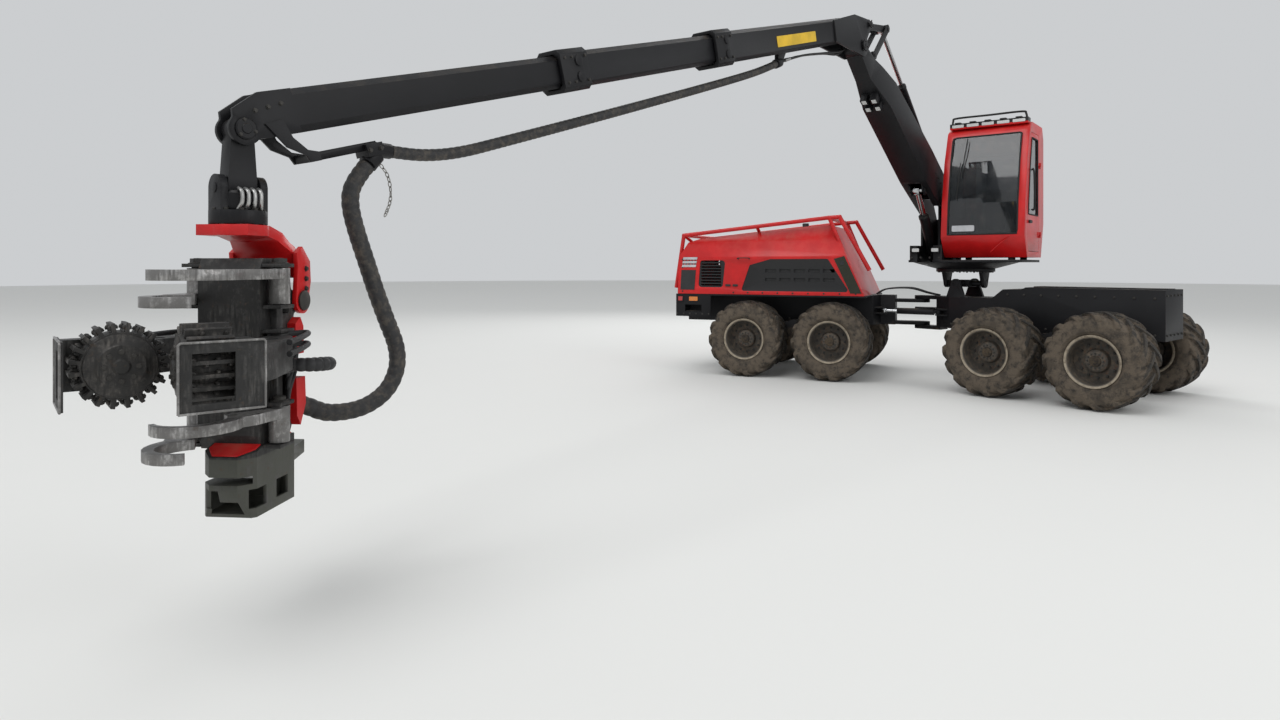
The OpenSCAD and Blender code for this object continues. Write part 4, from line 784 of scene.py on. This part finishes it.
class WheelStep(bpy.types.Operator):
    """Bolts, hub covers and valves of the eight wheels"""

    bl_idname = "harvester.wheels"
    bl_label = "Wheels"

    def execute(self, context):
        """Makes one piece for each wheel: rings of bolts on the disc and the hub, cap, plug and valve."""
        cap = turned([(0.074, 0.176), (0.076, 0.192), (0.068, 0.2), (0.03, 0.205), (0.03, 0.212),
                      (POLE, 0.214)], 28)
        collar = turned([(0.162, 0.085), (0.166, 0.1), (0.158, 0.115), (0.15, 0.118)], 40)
        valve = carried(spline([(0.3, 0, 0.07), (0.3, 0, 0.1), (0.285, 0, 0.125)], 8), 0.006, 8, (0, 1, 0))
        for name in WHEELS:
            place = wheel_place(name)
            part = Part().bolts(settings().bolt, 0.022, ring_of(settings().nuts, 0.235, 0.083), place)
            part.bolts(0.02, 0.014, ring_of(12, 0.102, 0.178), place)
            part.add(cap, place, 0).add(collar, place, 0).add(valve, place, 1)
            part.make("wheel_fittings_" + name, "wheel_" + name, *finishes("black", "dark_bolt"))
        return {"FINISHED"}


class HoodStep(bpy.types.Operator):
    """Slats, plank, lids and latches of the hood, lamps and bolts of the rear bumper"""

    bl_idname = "harvester.hood"
    bl_label = "Hood"

    def execute(self, context):
        """Makes the fittings that ride on the hood and on the rear frame."""
        part = Part()
        wall = 1.081
        part.bolts(0.022, 0.01, on_walls(wall, (-4.2, 1.5, -4.2, 2.1, 5), (-3.2, 1.49, -1.0, 1.49, 9)), REAR)
        for side, out in SIDES:
            self.side_of(part, side, out, wall)
        slope = math.atan2(0.22, 2.28) / DEG
        for x in (-3.6, -2.7):
            z = 2.5 + (x + 3.91) * 0.22 / 2.31
            part.slab((0.62, 1.1), 0.05, 0.02, 0.006, REAR @ shift(x, 0, z - 0.006) @ turn("y", -slope), 0)
            part.bolts(0.02, 0.01, [shift(a, b, 0) for a in (-0.28, 0.28) for b in (-0.5, 0, 0.5)],
                       REAR @ shift(x, 0, z + 0.012) @ turn("y", -slope))
        stack = turned([(0.06, 2.66), (0.062, 2.8), (0.058, 2.81), (0.05, 2.8), (0.05, 2.7)], 28)
        part.add(stack, REAR @ shift(-2.2, 0.45, 0), 2)
        part.make("hood_fittings", "hood_body", *finishes("red", "dark_bolt", "plastic", "pale", "plank"))
        self.bumper()
        return {"FINISHED"}

    def side_of(self, part, side, out, wall):
        """One side: latches, three pale slats over a bare panel, the liner behind the slots, plank, ring and grip."""
        for x in (-3.16, -3.3):
            part.slab((0.04, 0.1), 0.015, 0.018, 0.005, REAR @ facing(x, side * wall, 1.62, out) @ turn("z", 90), 2)
        for k in range(3):
            along, up = 0.012 * k, 0.07 * k
            slat = [(-4.21 + along, 1.955 + up), (-3.93 + along, 1.955 + up), (-3.92 + along, 2.0 + up),
                    (-4.2 + along, 2.0 + up)]
            part.add(sheet(slat, side, wall, 0.014), REAR, 3)
        panel = [(-4.24, 1.53), (-3.96, 1.53), (-3.93, 1.9), (-4.22, 1.9)]
        liner = [(-2.95, 1.58), (-1.25, 1.58), (-1.52, 2.03), (-2.5, 2.03), (-2.82, 1.93)]
        plank = [(-1.09, 1.5), (-0.9, 1.5), (-1.195, 2.15), (-1.37, 2.1)]
        for outline, at, thick, look in (
                (panel, 1.0805, 0.008, 2), (liner, 1.03, 0.006, 2), (plank, 1.0805, 0.012, 4)):
            part.add(sheet(outline, side, at, thick), REAR, look)
        middle = REAR @ facing(-1.235, side * 1.0925, 2.03, out)
        part.add(turned([(0.04, 0), (0.038, 0.006), (0.026, 0.006), (0.024, 0.0)], 28), middle, 2)
        part.add(turned([(0.025, 0), (POLE, 0.001)], 24), middle, 2)
        near, far = side * wall, side * (wall + 0.05)
        grip = [(-3.1, near, 2.1), (-3.1, far, 2.12), (-2.9, far, 2.12), (-2.9, near, 2.1)]
        part.pipe(grip, 24, REAR, 0.009, 10, (0, 0, 1), 1)

    def bumper(self):
        """Lamps at the back and the sides of the bumper, its bolts and two ledges."""
        rear = Part().bolts(0.024, 0.012, on_walls(1.081, (-4.3, 1.08, -3.68, 1.08, 6)), REAR)
        for side, out in SIDES:
            back = REAR @ facing(-4.343, side * 0.95, 1.34, "-x") @ turn("z", 90)
            rear.slab((0.14, 0.07), 0.015, 0.012, 0.004, back, 3)
            for x, width, look in ((-4.24, 0.09, 3), (-3.98, 0.17, 2)):
                rear.slab((width, 0.08), 0.012, 0.012, 0.004, REAR @ facing(x, side * 1.083, 1.36, out), look)
            rear.slab((0.32, 0.1), 0.02, 0.012, 0.004, REAR @ shift(-3.98, side * 1.03, 1.122), 0)
        rear.bolts(0.03, 0.016, row_of((-4.331, -0.9, 1.2), (-4.331, 0.9, 1.2), 8, "-x"), REAR)
        rear.make("bumper_fittings", "rear", *finishes("black", "dark_bolt", "amber_lens", "red_lens"))


class FrameStep(bpy.types.Operator):
    """Bolts and treads of the frames, hoses over the centre hinge, bolts of the levelled ring"""

    bl_idname = "harvester.frames"
    bl_label = "Frames"

    def execute(self, context):
        """Makes the fittings of the two frames and the ring."""
        rows = on_walls(0.401, (0.75, 1.0, 2.95, 1.0, 10), (0.9, 1.52, 2.95, 1.52, 9), (-0.05, 1.0, 0.6, 1.0, 4))
        for z in (1.0, 1.56):
            rows += row_of((3.081, -0.33, z), (3.081, 0.33, z), 5, "+x")
        front = Part().bolts(0.026, 0.014, rows)
        for k in range(4):
            front.slab((0.5, 0.34), 0.02, 0.012, 0.004, shift(1.45 + 0.45 * k, 0.0, 1.641), 0)
        front.make("front_frame_fittings", "front", *finishes("black", "dark_bolt"))
        rear = Part().bolts(0.026, 0.014, on_walls(0.401, (-3.5, 1.0, -0.9, 1.0, 12)), REAR)
        for y in (-0.12, -0.06, 0.0, 0.06, 0.12):
            line = [(-0.78, y, 1.47), (-0.6, y, 1.56), (-0.2, y * 1.6, 1.58), (0.1, y * 1.2, 1.5), (0.3, y, 1.455)]
            rear.pipe(line, 30, REAR, 0.014, 10, (0, 0, 1), 2)
        rear.make("hinge_hoses", "rear", *finishes("black", "dark_bolt", "thin_hose"))
        ring = Part().bolts(0.028, 0.016, ring_of(24, 0.43), shift(0, 0, 1.88) @ turn("x", 180))
        ring.make("ring_bolts", "ring", *finishes("black", "dark_bolt"))
        return {"FINISHED"}


class CabStep(bpy.types.Operator):
    """Seals, wiper, roof lamps, seat pads and controls of the cab, bolts of the crane's base"""

    bl_idname = "harvester.cab"
    bl_label = "Cab"

    def execute(self, context):
        """Makes what rides on the turntable, and the door's handle and seal."""
        part = Part()
        count, span = 5, 1.3 - 0.09
        wide = span / count
        for k in range(count):
            y = -0.26 + 0.06 + k * wide + (wide - 0.04) / 2
            part.slab((wide - 0.05, 0.052), 0.01, 0.012, 0.003, CAB @ facing(0.08, y, 4.374, "+x") @ turn("z", 90), 3)
            part.slab((wide - 0.02, 0.1), 0.012, 0.02, 0.004, CAB @ shift(0, y, 4.418), 2)
        # seals: round the windscreen's opening on the curved front, and round the right window
        edge = [(0.497, 2.5), (0.44, 3.02), (0.3, 3.72), (0.19, 4.1), (0.12, 4.17)]
        left, right = -0.15, 0.93
        rim = [(x, left, z) for x, z in edge] + [(x, right, z) for x, z in edge[::-1]]
        self.seal(part, rim + rim[:1], 90, 0.013, (0.2, 0.3, 0.9))
        window = [(-0.7, 2.82), (0.26, 2.82), (0.22, 3.02), (0.11, 3.68), (-0.04, 4.15), (-0.7, 4.15), (-0.7, 2.82)]
        self.seal(part, [(x, -0.262, z) for x, z in window], 70, 0.012)
        # wiper: an arm from the top edge and its blade
        part.pipe([(0.2, 0.1, 4.12), (0.3, 0.08, 3.85), (0.39, 0.04, 3.45)], 20, CAB, 0.009, 8, finish=1)
        part.pipe([(0.335, 0.02, 3.72), (0.405, 0.0, 3.4), (0.445, -0.02, 3.08)], 20, CAB, 0.007, 8, finish=1)
        # tube over the roof lamps
        tube = [(0.02, -0.2, 4.35), (0.04, -0.19, 4.48), (0.05, -0.12, 4.52), (0.05, 0.4, 4.52), (0.05, 0.9, 4.52),
                (0.04, 0.97, 4.48), (0.02, 0.98, 4.35)]
        part.pipe(tube, 60, CAB, 0.017, 10, (1, 0, 0), 1)
        # blank plate at the foot of the windscreen, and the pressed edge that rises to the door side
        part.slab((0.1, 0.36), 0.02, 0.006, 0.002, CAB @ facing(0.494, 0.1, 2.6, "+x"), 5)
        part.pipe([(0.455, 0.52, 2.2), (0.485, 0.66, 2.33), (0.499, 0.82, 2.46)], 24, CAB, 0.007, 8, (1, 0, 0), 0)
        part.slab((0.7, 0.6), 0.05, 0.03, 0.01, CAB @ shift(-0.45, 0.39, 4.352), 0)
        rail = [(0.02, 1.05, 2.9), (0.08, 1.1, 2.95), (0.1, 1.1, 3.5), (0.04, 1.05, 3.55)]
        part.pipe(rail, 30, CAB, 0.014, 10, finish=1)
        part.make("cab_fittings", "turntable_body",
                  *finishes("red", "seal", "plastic", "clear_lens", "chrome", "pale"))
        self.seat()
        self.deck()
        door = Part()
        opening = [(-0.44, 2.82), (0.24, 2.82), (0.215, 3.02), (0.1, 3.66), (-0.02, 4.09), (-0.44, 4.09),
                   (-0.44, 2.82)]
        self.seal(door, [(x, 1.042, z) for x, z in opening], 70, 0.012)
        door.slab((0.16, 0.05), 0.015, 0.03, 0.008, CAB @ facing(0.14, 1.041, 2.7, "+y"), 2)
        door.make("door_fittings", "door_body", *finishes("red", "seal", "plastic"))
        return {"FINISHED"}

    def seal(self, part, line, count, radius, upright=(0.2, 0.9, 0.3)):
        """A rubber seal along a line of straight stretches."""
        part.add(carried(moved(dense(np.array(line), count), CAB), radius, 8, upright), finish=1)

    def pad(self, size, crown):
        """A cushion: x and y are sines to a low power, so the outline is nearly square, over a crowned middle."""
        u, v = np.meshgrid(np.linspace(0, np.pi, 34), np.linspace(0, 2 * np.pi, 72, endpoint=False), indexing="ij")

        def power(value, p):
            return np.sign(value) * np.abs(value) ** p
        x = size[0] / 2 * power(np.sin(u), 0.45) * power(np.cos(v), 0.5)
        y = size[1] / 2 * power(np.sin(u), 0.45) * power(np.sin(v), 0.5)
        z = size[2] / 2 * power(np.cos(u), 0.55)
        z += crown * (1 - (2 * x / size[0]) ** 2) * (1 - (2 * y / size[1]) ** 2)
        return loft(np.stack([x, y, z], axis=-1))

    def swell(self, pad, most):
        """Blows a pad up as cloth: remeshed at 6 mm, 20 steps of pressure, no point moving further than most."""
        scene, last = bpy.context.scene, 20
        remesh = pad.modifiers.new("remesh", "REMESH")
        remesh.mode, remesh.voxel_size = "VOXEL", 0.006
        self.freeze(pad)
        start = self.points_of(pad)
        cloth = pad.modifiers.new("cloth", "CLOTH")
        cloth.settings.use_pressure = True
        cloth.settings.uniform_pressure_force = 4
        cloth.settings.effector_weights.gravity = 0
        cloth.point_cache.frame_start, cloth.point_cache.frame_end = 1, last
        for step in range(1, last + 1):
            scene.frame_set(step)
        self.freeze(pad)
        moves = self.points_of(pad) - start
        far = np.linalg.norm(moves, axis=1, keepdims=True)
        pad.data.vertices.foreach_set("co", (start + moves * np.minimum(1, most / np.maximum(far, 1e-9))).ravel())
        scene.frame_set(1)
        soft = pad.modifiers.new("soft", "SUBSURF")
        soft.levels = soft.render_levels = 1

    def freeze(self, pad):
        """Puts what the modifiers make into the mesh and takes them away."""
        made = bpy.data.meshes.new_from_object(pad.evaluated_get(bpy.context.evaluated_depsgraph_get()))
        pad.modifiers.clear()
        pad.data = made
        made.polygons.foreach_set("use_smooth", [True] * len(made.polygons))

    def points_of(self, pad):
        """The points of a mesh as an array."""
        flat = np.empty(len(pad.data.vertices) * 3)
        pad.data.vertices.foreach_get("co", flat)
        return flat.reshape(-1, 3)

    def sew(self, pad, place, apart):
        """Presses sewn channels into a pad's upper face: each 5 mm deep, a cosine to a high power across the pad."""
        points = self.points_of(pad)
        own = (points - place[:3, 3]) @ place[:3, :3]
        wave = np.cos(np.pi * own[:, 0] / apart)
        lines = np.clip(wave, 0, 1) ** 40 + np.clip(-wave, 0, 1) ** 40
        own[:, 2] -= 0.005 * lines * np.clip(own[:, 2] / 0.03, 0, 1)
        pad.data.vertices.foreach_set("co", (own @ place[:3, :3].T + place[:3, 3]).ravel())
        pad.data.update()

    def seat(self):
        """Seat pads on their pan, armrests with levers, and a screen."""
        base = CAB @ shift(-0.25, 0.39, 2.156)
        for name, surface, place in (
                ("seat_pad", self.pad((0.49, 0.47, 0.12), 0.015), base @ shift(0.02, 0, 0.345)),
                ("back_pad", self.pad((0.73, 0.45, 0.11), 0.015), base @ shift(-0.185, 0, 0.79) @ turn("y", -90))):
            pad = Part().add(surface, place).make(name, "turntable_body", *finishes("cloth"), smooth=70)
            self.swell(pad, 0.012)
            self.sew(pad, place, 0.165)
        part = Part()
        part.slab((0.4, 0.4), 0.05, 0.26, 0.02, base)
        part.slab((0.5, 0.48), 0.06, 0.03, 0.01, base @ shift(0, 0, 0.262))
        part.slab((0.1, 0.44), 0.04, 0.7, 0.02, base @ shift(-0.235, 0, 0.42))
        for side in (-1, 1):
            rest = base @ shift(0.09, side * 0.28, 0.3)
            part.slab((0.48, 0.08), 0.035, 0.3, 0.02, rest)
            part.pipe([(0.15, 0, 0.28), (0.16, 0, 0.32), (0.16, 0, 0.4)], 14, rest, np.linspace(0.018, 0.024, 14), 12)
        part.slab((0.2, 0.28), 0.02, 0.03, 0.008, CAB @ shift(0.16, 0.78, 2.95) @ turn("y", -75))
        part.pipe([(0.1, 0.9, 2.2), (0.16, 0.86, 2.5), (0.16, 0.8, 2.95)], 16, CAB, 0.015)
        piece = part.make("seat_frame", "turntable_body", *finishes("plastic"))
        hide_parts("seat")

    def deck(self):
        """Bolts of the crane base, the pillar and the deck, lamps in the base."""
        rows = row_of((-0.62, -0.816, 2.16), (0.34, -0.816, 2.16), 6, "-y")
        rows += row_of((0.411, -0.78, 2.12), (0.411, -0.32, 2.12), 4, "+x")
        rows += on_walls(0.166, (-0.6, 2.34, -0.6, 2.52, 3), (0.08, 2.34, 0.08, 2.48, 2), middle=-0.55)
        part = Part().bolts(0.026, 0.014, rows, CAB)
        for y in (-0.71, -0.38):
            part.slab((0.12, 0.06), 0.012, 0.01, 0.003, CAB @ facing(0.426, y, 2.25, "+x") @ turn("z", 90), 2)
        part.make("deck_fittings", "turntable_body", *finishes("black", "dark_bolt", "clear_lens"))


class CraneStep(bpy.types.Operator):
    """Pin covers, pipes, lenses, plate and clamp of the crane"""

    bl_idname = "harvester.crane"
    bl_label = "Crane"

    def pin(self, part, x, z, half, place, width=0.075):
        """A pin's two end covers, each a turned disc with three small bolts."""
        disc = turned([(width, 0), (width, 0.008), (width - 0.008, 0.014), (0.03, 0.014), (0.026, 0.02),
                       (POLE, 0.02)], 28)
        for side, out in SIDES:
            at = place @ facing(x, side * half, z, out)
            part.add(disc, at, 0).bolts(0.016, 0.009, ring_of(3, 0.05, 0.013, 30), at)

    def execute(self, context):
        """Makes the fittings of each boom."""
        main = Part()
        self.pin(main, 0, 0, 0.216, BOOM, 0.085)
        self.pin(main, 1.15, -0.3, 0.121, BOOM, 0.055)
        for y in (-0.05, -0.017, 0.017, 0.05):
            line = [(0.5, y, 0.3), (0.9, y, 0.352), (1.6, y, 0.348), (2.6, y, 0.29), (3.5, y, 0.222), (3.85, y, 0.2)]
            main.pipe(line, 50, BOOM, 0.011, 8, finish=2)
        for x, z in ((1.1, 0.331), (2.0, 0.296), (3.0, 0.243)):
            main.slab((0.05, 0.17), 0.01, 0.03, 0.005, BOOM @ shift(x, 0, z - 0.002) @ turn("y", 3), 0)
        for x in (BOOM_L - 1.05, BOOM_L - 0.88):
            for y in (-0.125, 0.025):
                main.slab((0.08, 0.07), 0.01, 0.008, 0.003, BOOM @ facing(x + 0.055, y + 0.05, -0.322, "-z"), 3)
        main.bolts(0.024, 0.012, on_walls(0.216, (0.75, 0.1, 1.05, 0.1, 3)), BOOM)
        main.make("main_boom_fittings", "main_boom_body",
                  *finishes("crane_black", "dark_bolt", "thin_hose", "clear_lens"))

        outer = Part()
        self.pin(outer, 0, 0, 0.174, OUTER, 0.085)
        self.pin(outer, -0.288, 0.269, 0.174, OUTER, 0.05)
        outer.slab((1.05, 0.125), 0.01, 0.004, 0.0015, OUTER @ facing(2.0, 0.1252, 0.225, "+y"), 4)
        for y, drop in ((-0.03, 0.0), (0.0, -0.02), (0.03, 0.01)):
            line = [(0.25, y, 0.03), (0.6, y, -0.03 + drop), (1.1, y, 0.0), (1.7, y, 0.02), (2.3, y * 0.6, -0.005)]
            outer.pipe(line, 60, OUTER, 0.014, finish=2)
            outer.pipe([(2.08, y, 0.01), (2.2, y * 0.8, 0.0)], 6, OUTER, 0.02, 12, finish=3)
        outer.bolts(0.022, 0.012, on_walls(0.151, (3.6, 0.36, 3.86, 0.36, 4), (3.6, 0.14, 3.86, 0.14, 4)), OUTER)
        outer.make("outer_boom_fittings", "outer_boom_body",
                   *finishes("crane_black", "dark_bolt", "thin_hose", "silver", "yellow"))

        rows = on_walls(0.132, (5.95, 0.35, 6.2, 0.35, 4), (5.95, 0.15, 6.2, 0.15, 4))
        middle = Part().bolts(0.02, 0.011, rows, OUTER)
        middle.make("boom_b_fittings", "boom_b_body", *finishes("crane_black", "dark_bolt", "silver", "zinc"))
        last = Part().bolts(0.02, 0.011, on_walls(0.09, (8.62, 0.3, 8.78, 0.28, 3)), OUTER)
        self.pin(last, TIP_ALONG, OUTER_UP - 0.06, 0.09, OUTER, 0.06)
        self.clamp(last)
        last.make("boom_c_fittings", "boom_c_body", *finishes("crane_black", "dark_bolt", "silver", "zinc"))
        self.tip()
        return {"FINISHED"}

    def clamp(self, part):
        """Bolts of the holder's clamp, and a chain of 14 links, each a bent ring."""
        part.bolts(0.024, 0.014, on_walls(0.071, (8.03, -0.06, 8.11, -0.06, 2)), OUTER)
        t = np.linspace(0, 2 * np.pi, 16, endpoint=False)
        link = np.stack([0.011 * np.cos(t), np.zeros(16), 0.021 * np.sin(t)], axis=-1)
        surface = carried(np.concatenate([link, link[:1]]), 0.0035, 6, (0, 1, 0))
        hangs = [(8.0, -0.07, -0.12), (7.93, -0.08, -0.25), (7.95, -0.08, -0.4), (8.03, -0.07, -0.5)]
        line = moved(spline(hangs, 15), OUTER)
        for k in range(14):
            middle, ahead = (line[k] + line[k + 1]) / 2, line[k + 1] - line[k]
            heading = turn("z", math.atan2(ahead[1], ahead[0]) / DEG)
            tilt = turn("y", math.atan2(math.hypot(ahead[0], ahead[1]), ahead[2]) / DEG)
            part.add(surface, shift(*middle) @ heading @ tilt @ turn("z", 90 * (k % 2)), 3)

    def tip(self):
        """Rotator: bright bent pipes at its side, bolts round its flange."""
        part = Part()
        for x in (-0.06, -0.025, 0.01, 0.045):
            line = [(x, 0.1, -0.335), (x, 0.138, -0.355), (x, 0.142, -0.41), (1.2 * x, 0.112, -0.45)]
            part.pipe(line, 30, TIP, 0.011, 10, (1, 0, 0), 2)
        part.bolts(0.026, 0.014, ring_of(10, 0.125), TIP @ shift(0, 0, -0.455))
        drum = turned([(0.112, -0.455), (0.118, -0.44), (0.118, -0.36), (0.105, -0.345), (0.06, -0.34)], 40)
        part.add(drum, TIP, 0)
        part.make("rotator_fittings", "rotator_body", *finishes("crane_black", "dark_bolt", "silver"))


class HeadStep(bpy.types.Operator):
    """Spikes, caps, hoses and red covers of the harvester head"""

    bl_idname = "harvester.head"
    bl_label = "Head"

    def execute(self, context):
        """Makes the fittings of the head's frame, arms and rollers."""
        spike = turned([(0.012, 0), (0.012, 0.012), (0.006, 0.02), (POLE, settings().spike)], 8)
        face = turned([(0.155, 0), (0.15, 0.012), (0.11, 0.02), (0.1, 0.03), (0.04, 0.03), (0.03, 0.04),
                       (POLE, 0.042)], 36)
        rounds, drum = 20, 0.195
        for side, name in ((-1, "r"), (1, "l")):
            place = roller_place(side)
            spots = [place @ turn("y", 360 / rounds * (k + 0.5) + (4 if row % 2 else -4)) @ shift(0, y, drum - 0.02)
                     for k in range(rounds) for row, y in enumerate((-0.075, -0.025, 0.025, 0.075))]
            part = Part().repeat(spike, spots, 0)
            outer_side = place @ facing(0, -side * 0.1, 0, "-y" if side > 0 else "+y")
            part.add(face, outer_side, 0).bolts(0.02, 0.012, ring_of(8, 0.07, 0.029), outer_side)
            part.make("roller_spikes_" + name, "roller_%s_body" % name, *finishes("spikes", "dark_bolt"))
            self.arm(side, name)
        self.frame_pieces()
        self.arch()
        return {"FINISHED"}

    def arm(self, side, name):
        """Bolts and two hoses of a roller arm, and a bead along the guard's edge."""
        back = roller_place(side) @ facing(0, side * 0.218, 0, "+y" if side > 0 else "-y")
        part = Part().add(turned([(0.085, 0), (0.085, 0.02), (0.07, 0.03), (POLE, 0.032)], 32), back, 0)
        part.bolts(0.018, 0.011, ring_of(8, 0.074, 0.018), back)
        edge = ((-0.15, -0.19), (-0.15, 0.13), (0.214, 0.13), (0.214, -0.19), (-0.15, -0.19))
        bead = dense(np.array([(0.239, side * a, b) for a, b in edge]), 80)
        part.add(carried(moved(bead, roller_place(side)), 0.006, 8, (0.7, 0.1, 0.3)), finish=2)
        for up in (0.03, 0.09):
            line = [(0.05, 0.2 * side, up + 0.96), (-0.06, 0.36 * side, up + 0.97), (0.1, 0.44 * side, up + 0.965),
                    (0.3, 0.47 * side, up + 0.95)]
            part.pipe(line, 40, HEAD, 0.016, 10, (0, 0, 1), 3)
        part.make("roller_arm_fittings_" + name, "roller_arm_%s_body" % name,
                  *finishes("head_black", "dark_bolt", "knife", "thin_hose"))

    def frame_pieces(self):
        """Red lids of the saw box, red strips and covers at the back, a ribbed bundle, pin caps and hoses."""
        part = Part()
        lid = inset([(-0.25, -0.11), (0.06, -0.11), (0.06, 0.19), (-0.25, 0.19)], 0.012)
        part.add(plate(lid, 0.008, 0.003), HEAD @ shift(0, 0, 0.45), 2)
        slope = math.atan2(0.05, 0.15) / DEG
        front = [(0, -0.095), (0.06, -0.095), (0.135, -0.03), (0.135, 0.11), (0.06, 0.175), (0, 0.175)]
        part.add(plate(front, 0.008, 0.003), HEAD @ shift(0.062, 0, 0.45) @ turn("y", slope), 2)
        strip = [(-0.285, 0.92), (-0.2, 0.92), (-0.19, 1.1), (-0.245, 1.135), (-0.28, 1.08)]
        cover = [(-0.24, 0.5), (-0.2, 0.56), (-0.19, 0.78), (-0.29, 0.78), (-0.3, 0.62)]
        for side, _ in SIDES:
            part.add(sheet(strip, side, 0.181, 0.05), HEAD, 2).add(sheet(cover, side, 0.181, 0.055), HEAD, 2)
        bundle = [(-0.1, 0.17, 0.875), (-0.1, 0.27, 0.872), (-0.15, 0.37, 0.866), (-0.25, 0.4, 0.86),
                  (-0.35, 0.34, 0.85), (-0.385, 0.23, 0.84), (-0.36, 0.13, 0.835), (-0.29, 0.09, 0.83)]
        ribs = 0.034 + 0.006 * np.abs(np.sin(np.linspace(0, 18 * np.pi, 160))) ** 0.5
        part.pipe(bundle, 160, HEAD, ribs, 16, (0, 0, 1), 3)
        cap = turned([(0.05, 0), (0.05, 0.008), (0.034, 0.014), (0.034, 0.03), (0.02, 0.036), (POLE, 0.037)], 24)
        part.bolts(0.022, 0.012, on_walls(0.181, (-0.05, 0.9, -0.05, 1.1, 3), (-0.2, 0.62, -0.2, 0.86, 3)), HEAD)
        for side, _ in SIDES:
            for z in (1.445, 0.675):
                part.add(cap, HEAD @ shift(0, side * 0.242, z), 1)
            for z in (0.86, 0.92, 1.0):
                line = [(-0.24, side * 0.19, z + 0.1), (-0.2, side * 0.23, z), (-0.1, side * 0.24, z - 0.15),
                        (-0.16, side * 0.2, z - 0.3)]
                part.pipe(line, 40, HEAD, 0.013, finish=3)
        part.make("head_fittings", "head_body", *finishes("head_black", "dark_bolt", "head_red", "thin_hose"))

    def arch(self):
        """Bolts and pin caps of the red tilt frame."""
        arch = Part().bolts(0.024, 0.012, on_walls(0.214, (-0.34, 1.3, -0.34, 1.42, 3)), HEAD)
        arch.bolts(0.026, 0.014, ring_of(10, 0.135), HEAD @ shift(0, 0, 1.664))
        cap = turned([(0.06, 0), (0.06, 0.01), (0.05, 0.016), (POLE, 0.016)], 28)
        for side, out in SIDES:
            arch.add(cap, HEAD @ facing(-0.31, side * 0.216, 1.23, out), 1)
        arch.make("arch_fittings", "head_hanger", *finishes("head_red", "dark_bolt"))


class HarvesterPanel(bpy.types.Panel):
    """Lists the sizes, colours and steps."""

    bl_idname = "VIEW3D_PT_harvester"
    bl_label = "Harvester"
    bl_space_type = "VIEW_3D"
    bl_region_type = "UI"
    bl_category = "Harvester"

    def draw(self, context):
        """Shows each property and each step's button."""
        for name in HarvesterSettings.__annotations__:
            self.layout.prop(context.scene.harvester, name)
        for step in STEPS:
            self.layout.operator(step.bl_idname)


STEPS = (StageStep, CordStep, FinishStep, WheelStep, HoodStep, FrameStep, CabStep, CraneStep, HeadStep)
CLASSES = (HarvesterSettings, *STEPS, HarvesterPanel)


def register():
    """Registers the classes and the scene's settings."""
    for each in CLASSES:
        bpy.utils.register_class(each)
    bpy.types.Scene.harvester = PointerProperty(type=HarvesterSettings)


def unregister():
    """Takes the settings and the classes away again."""
    del bpy.types.Scene.harvester
    for each in reversed(CLASSES):
        bpy.utils.unregister_class(each)


def main():
    """Makes every piece in order."""
    register()
    for step in STEPS:
        group, name = step.bl_idname.split(".")
        getattr(getattr(bpy.ops, group), name)()
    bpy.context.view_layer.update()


if __name__ == "__main__":
    main()
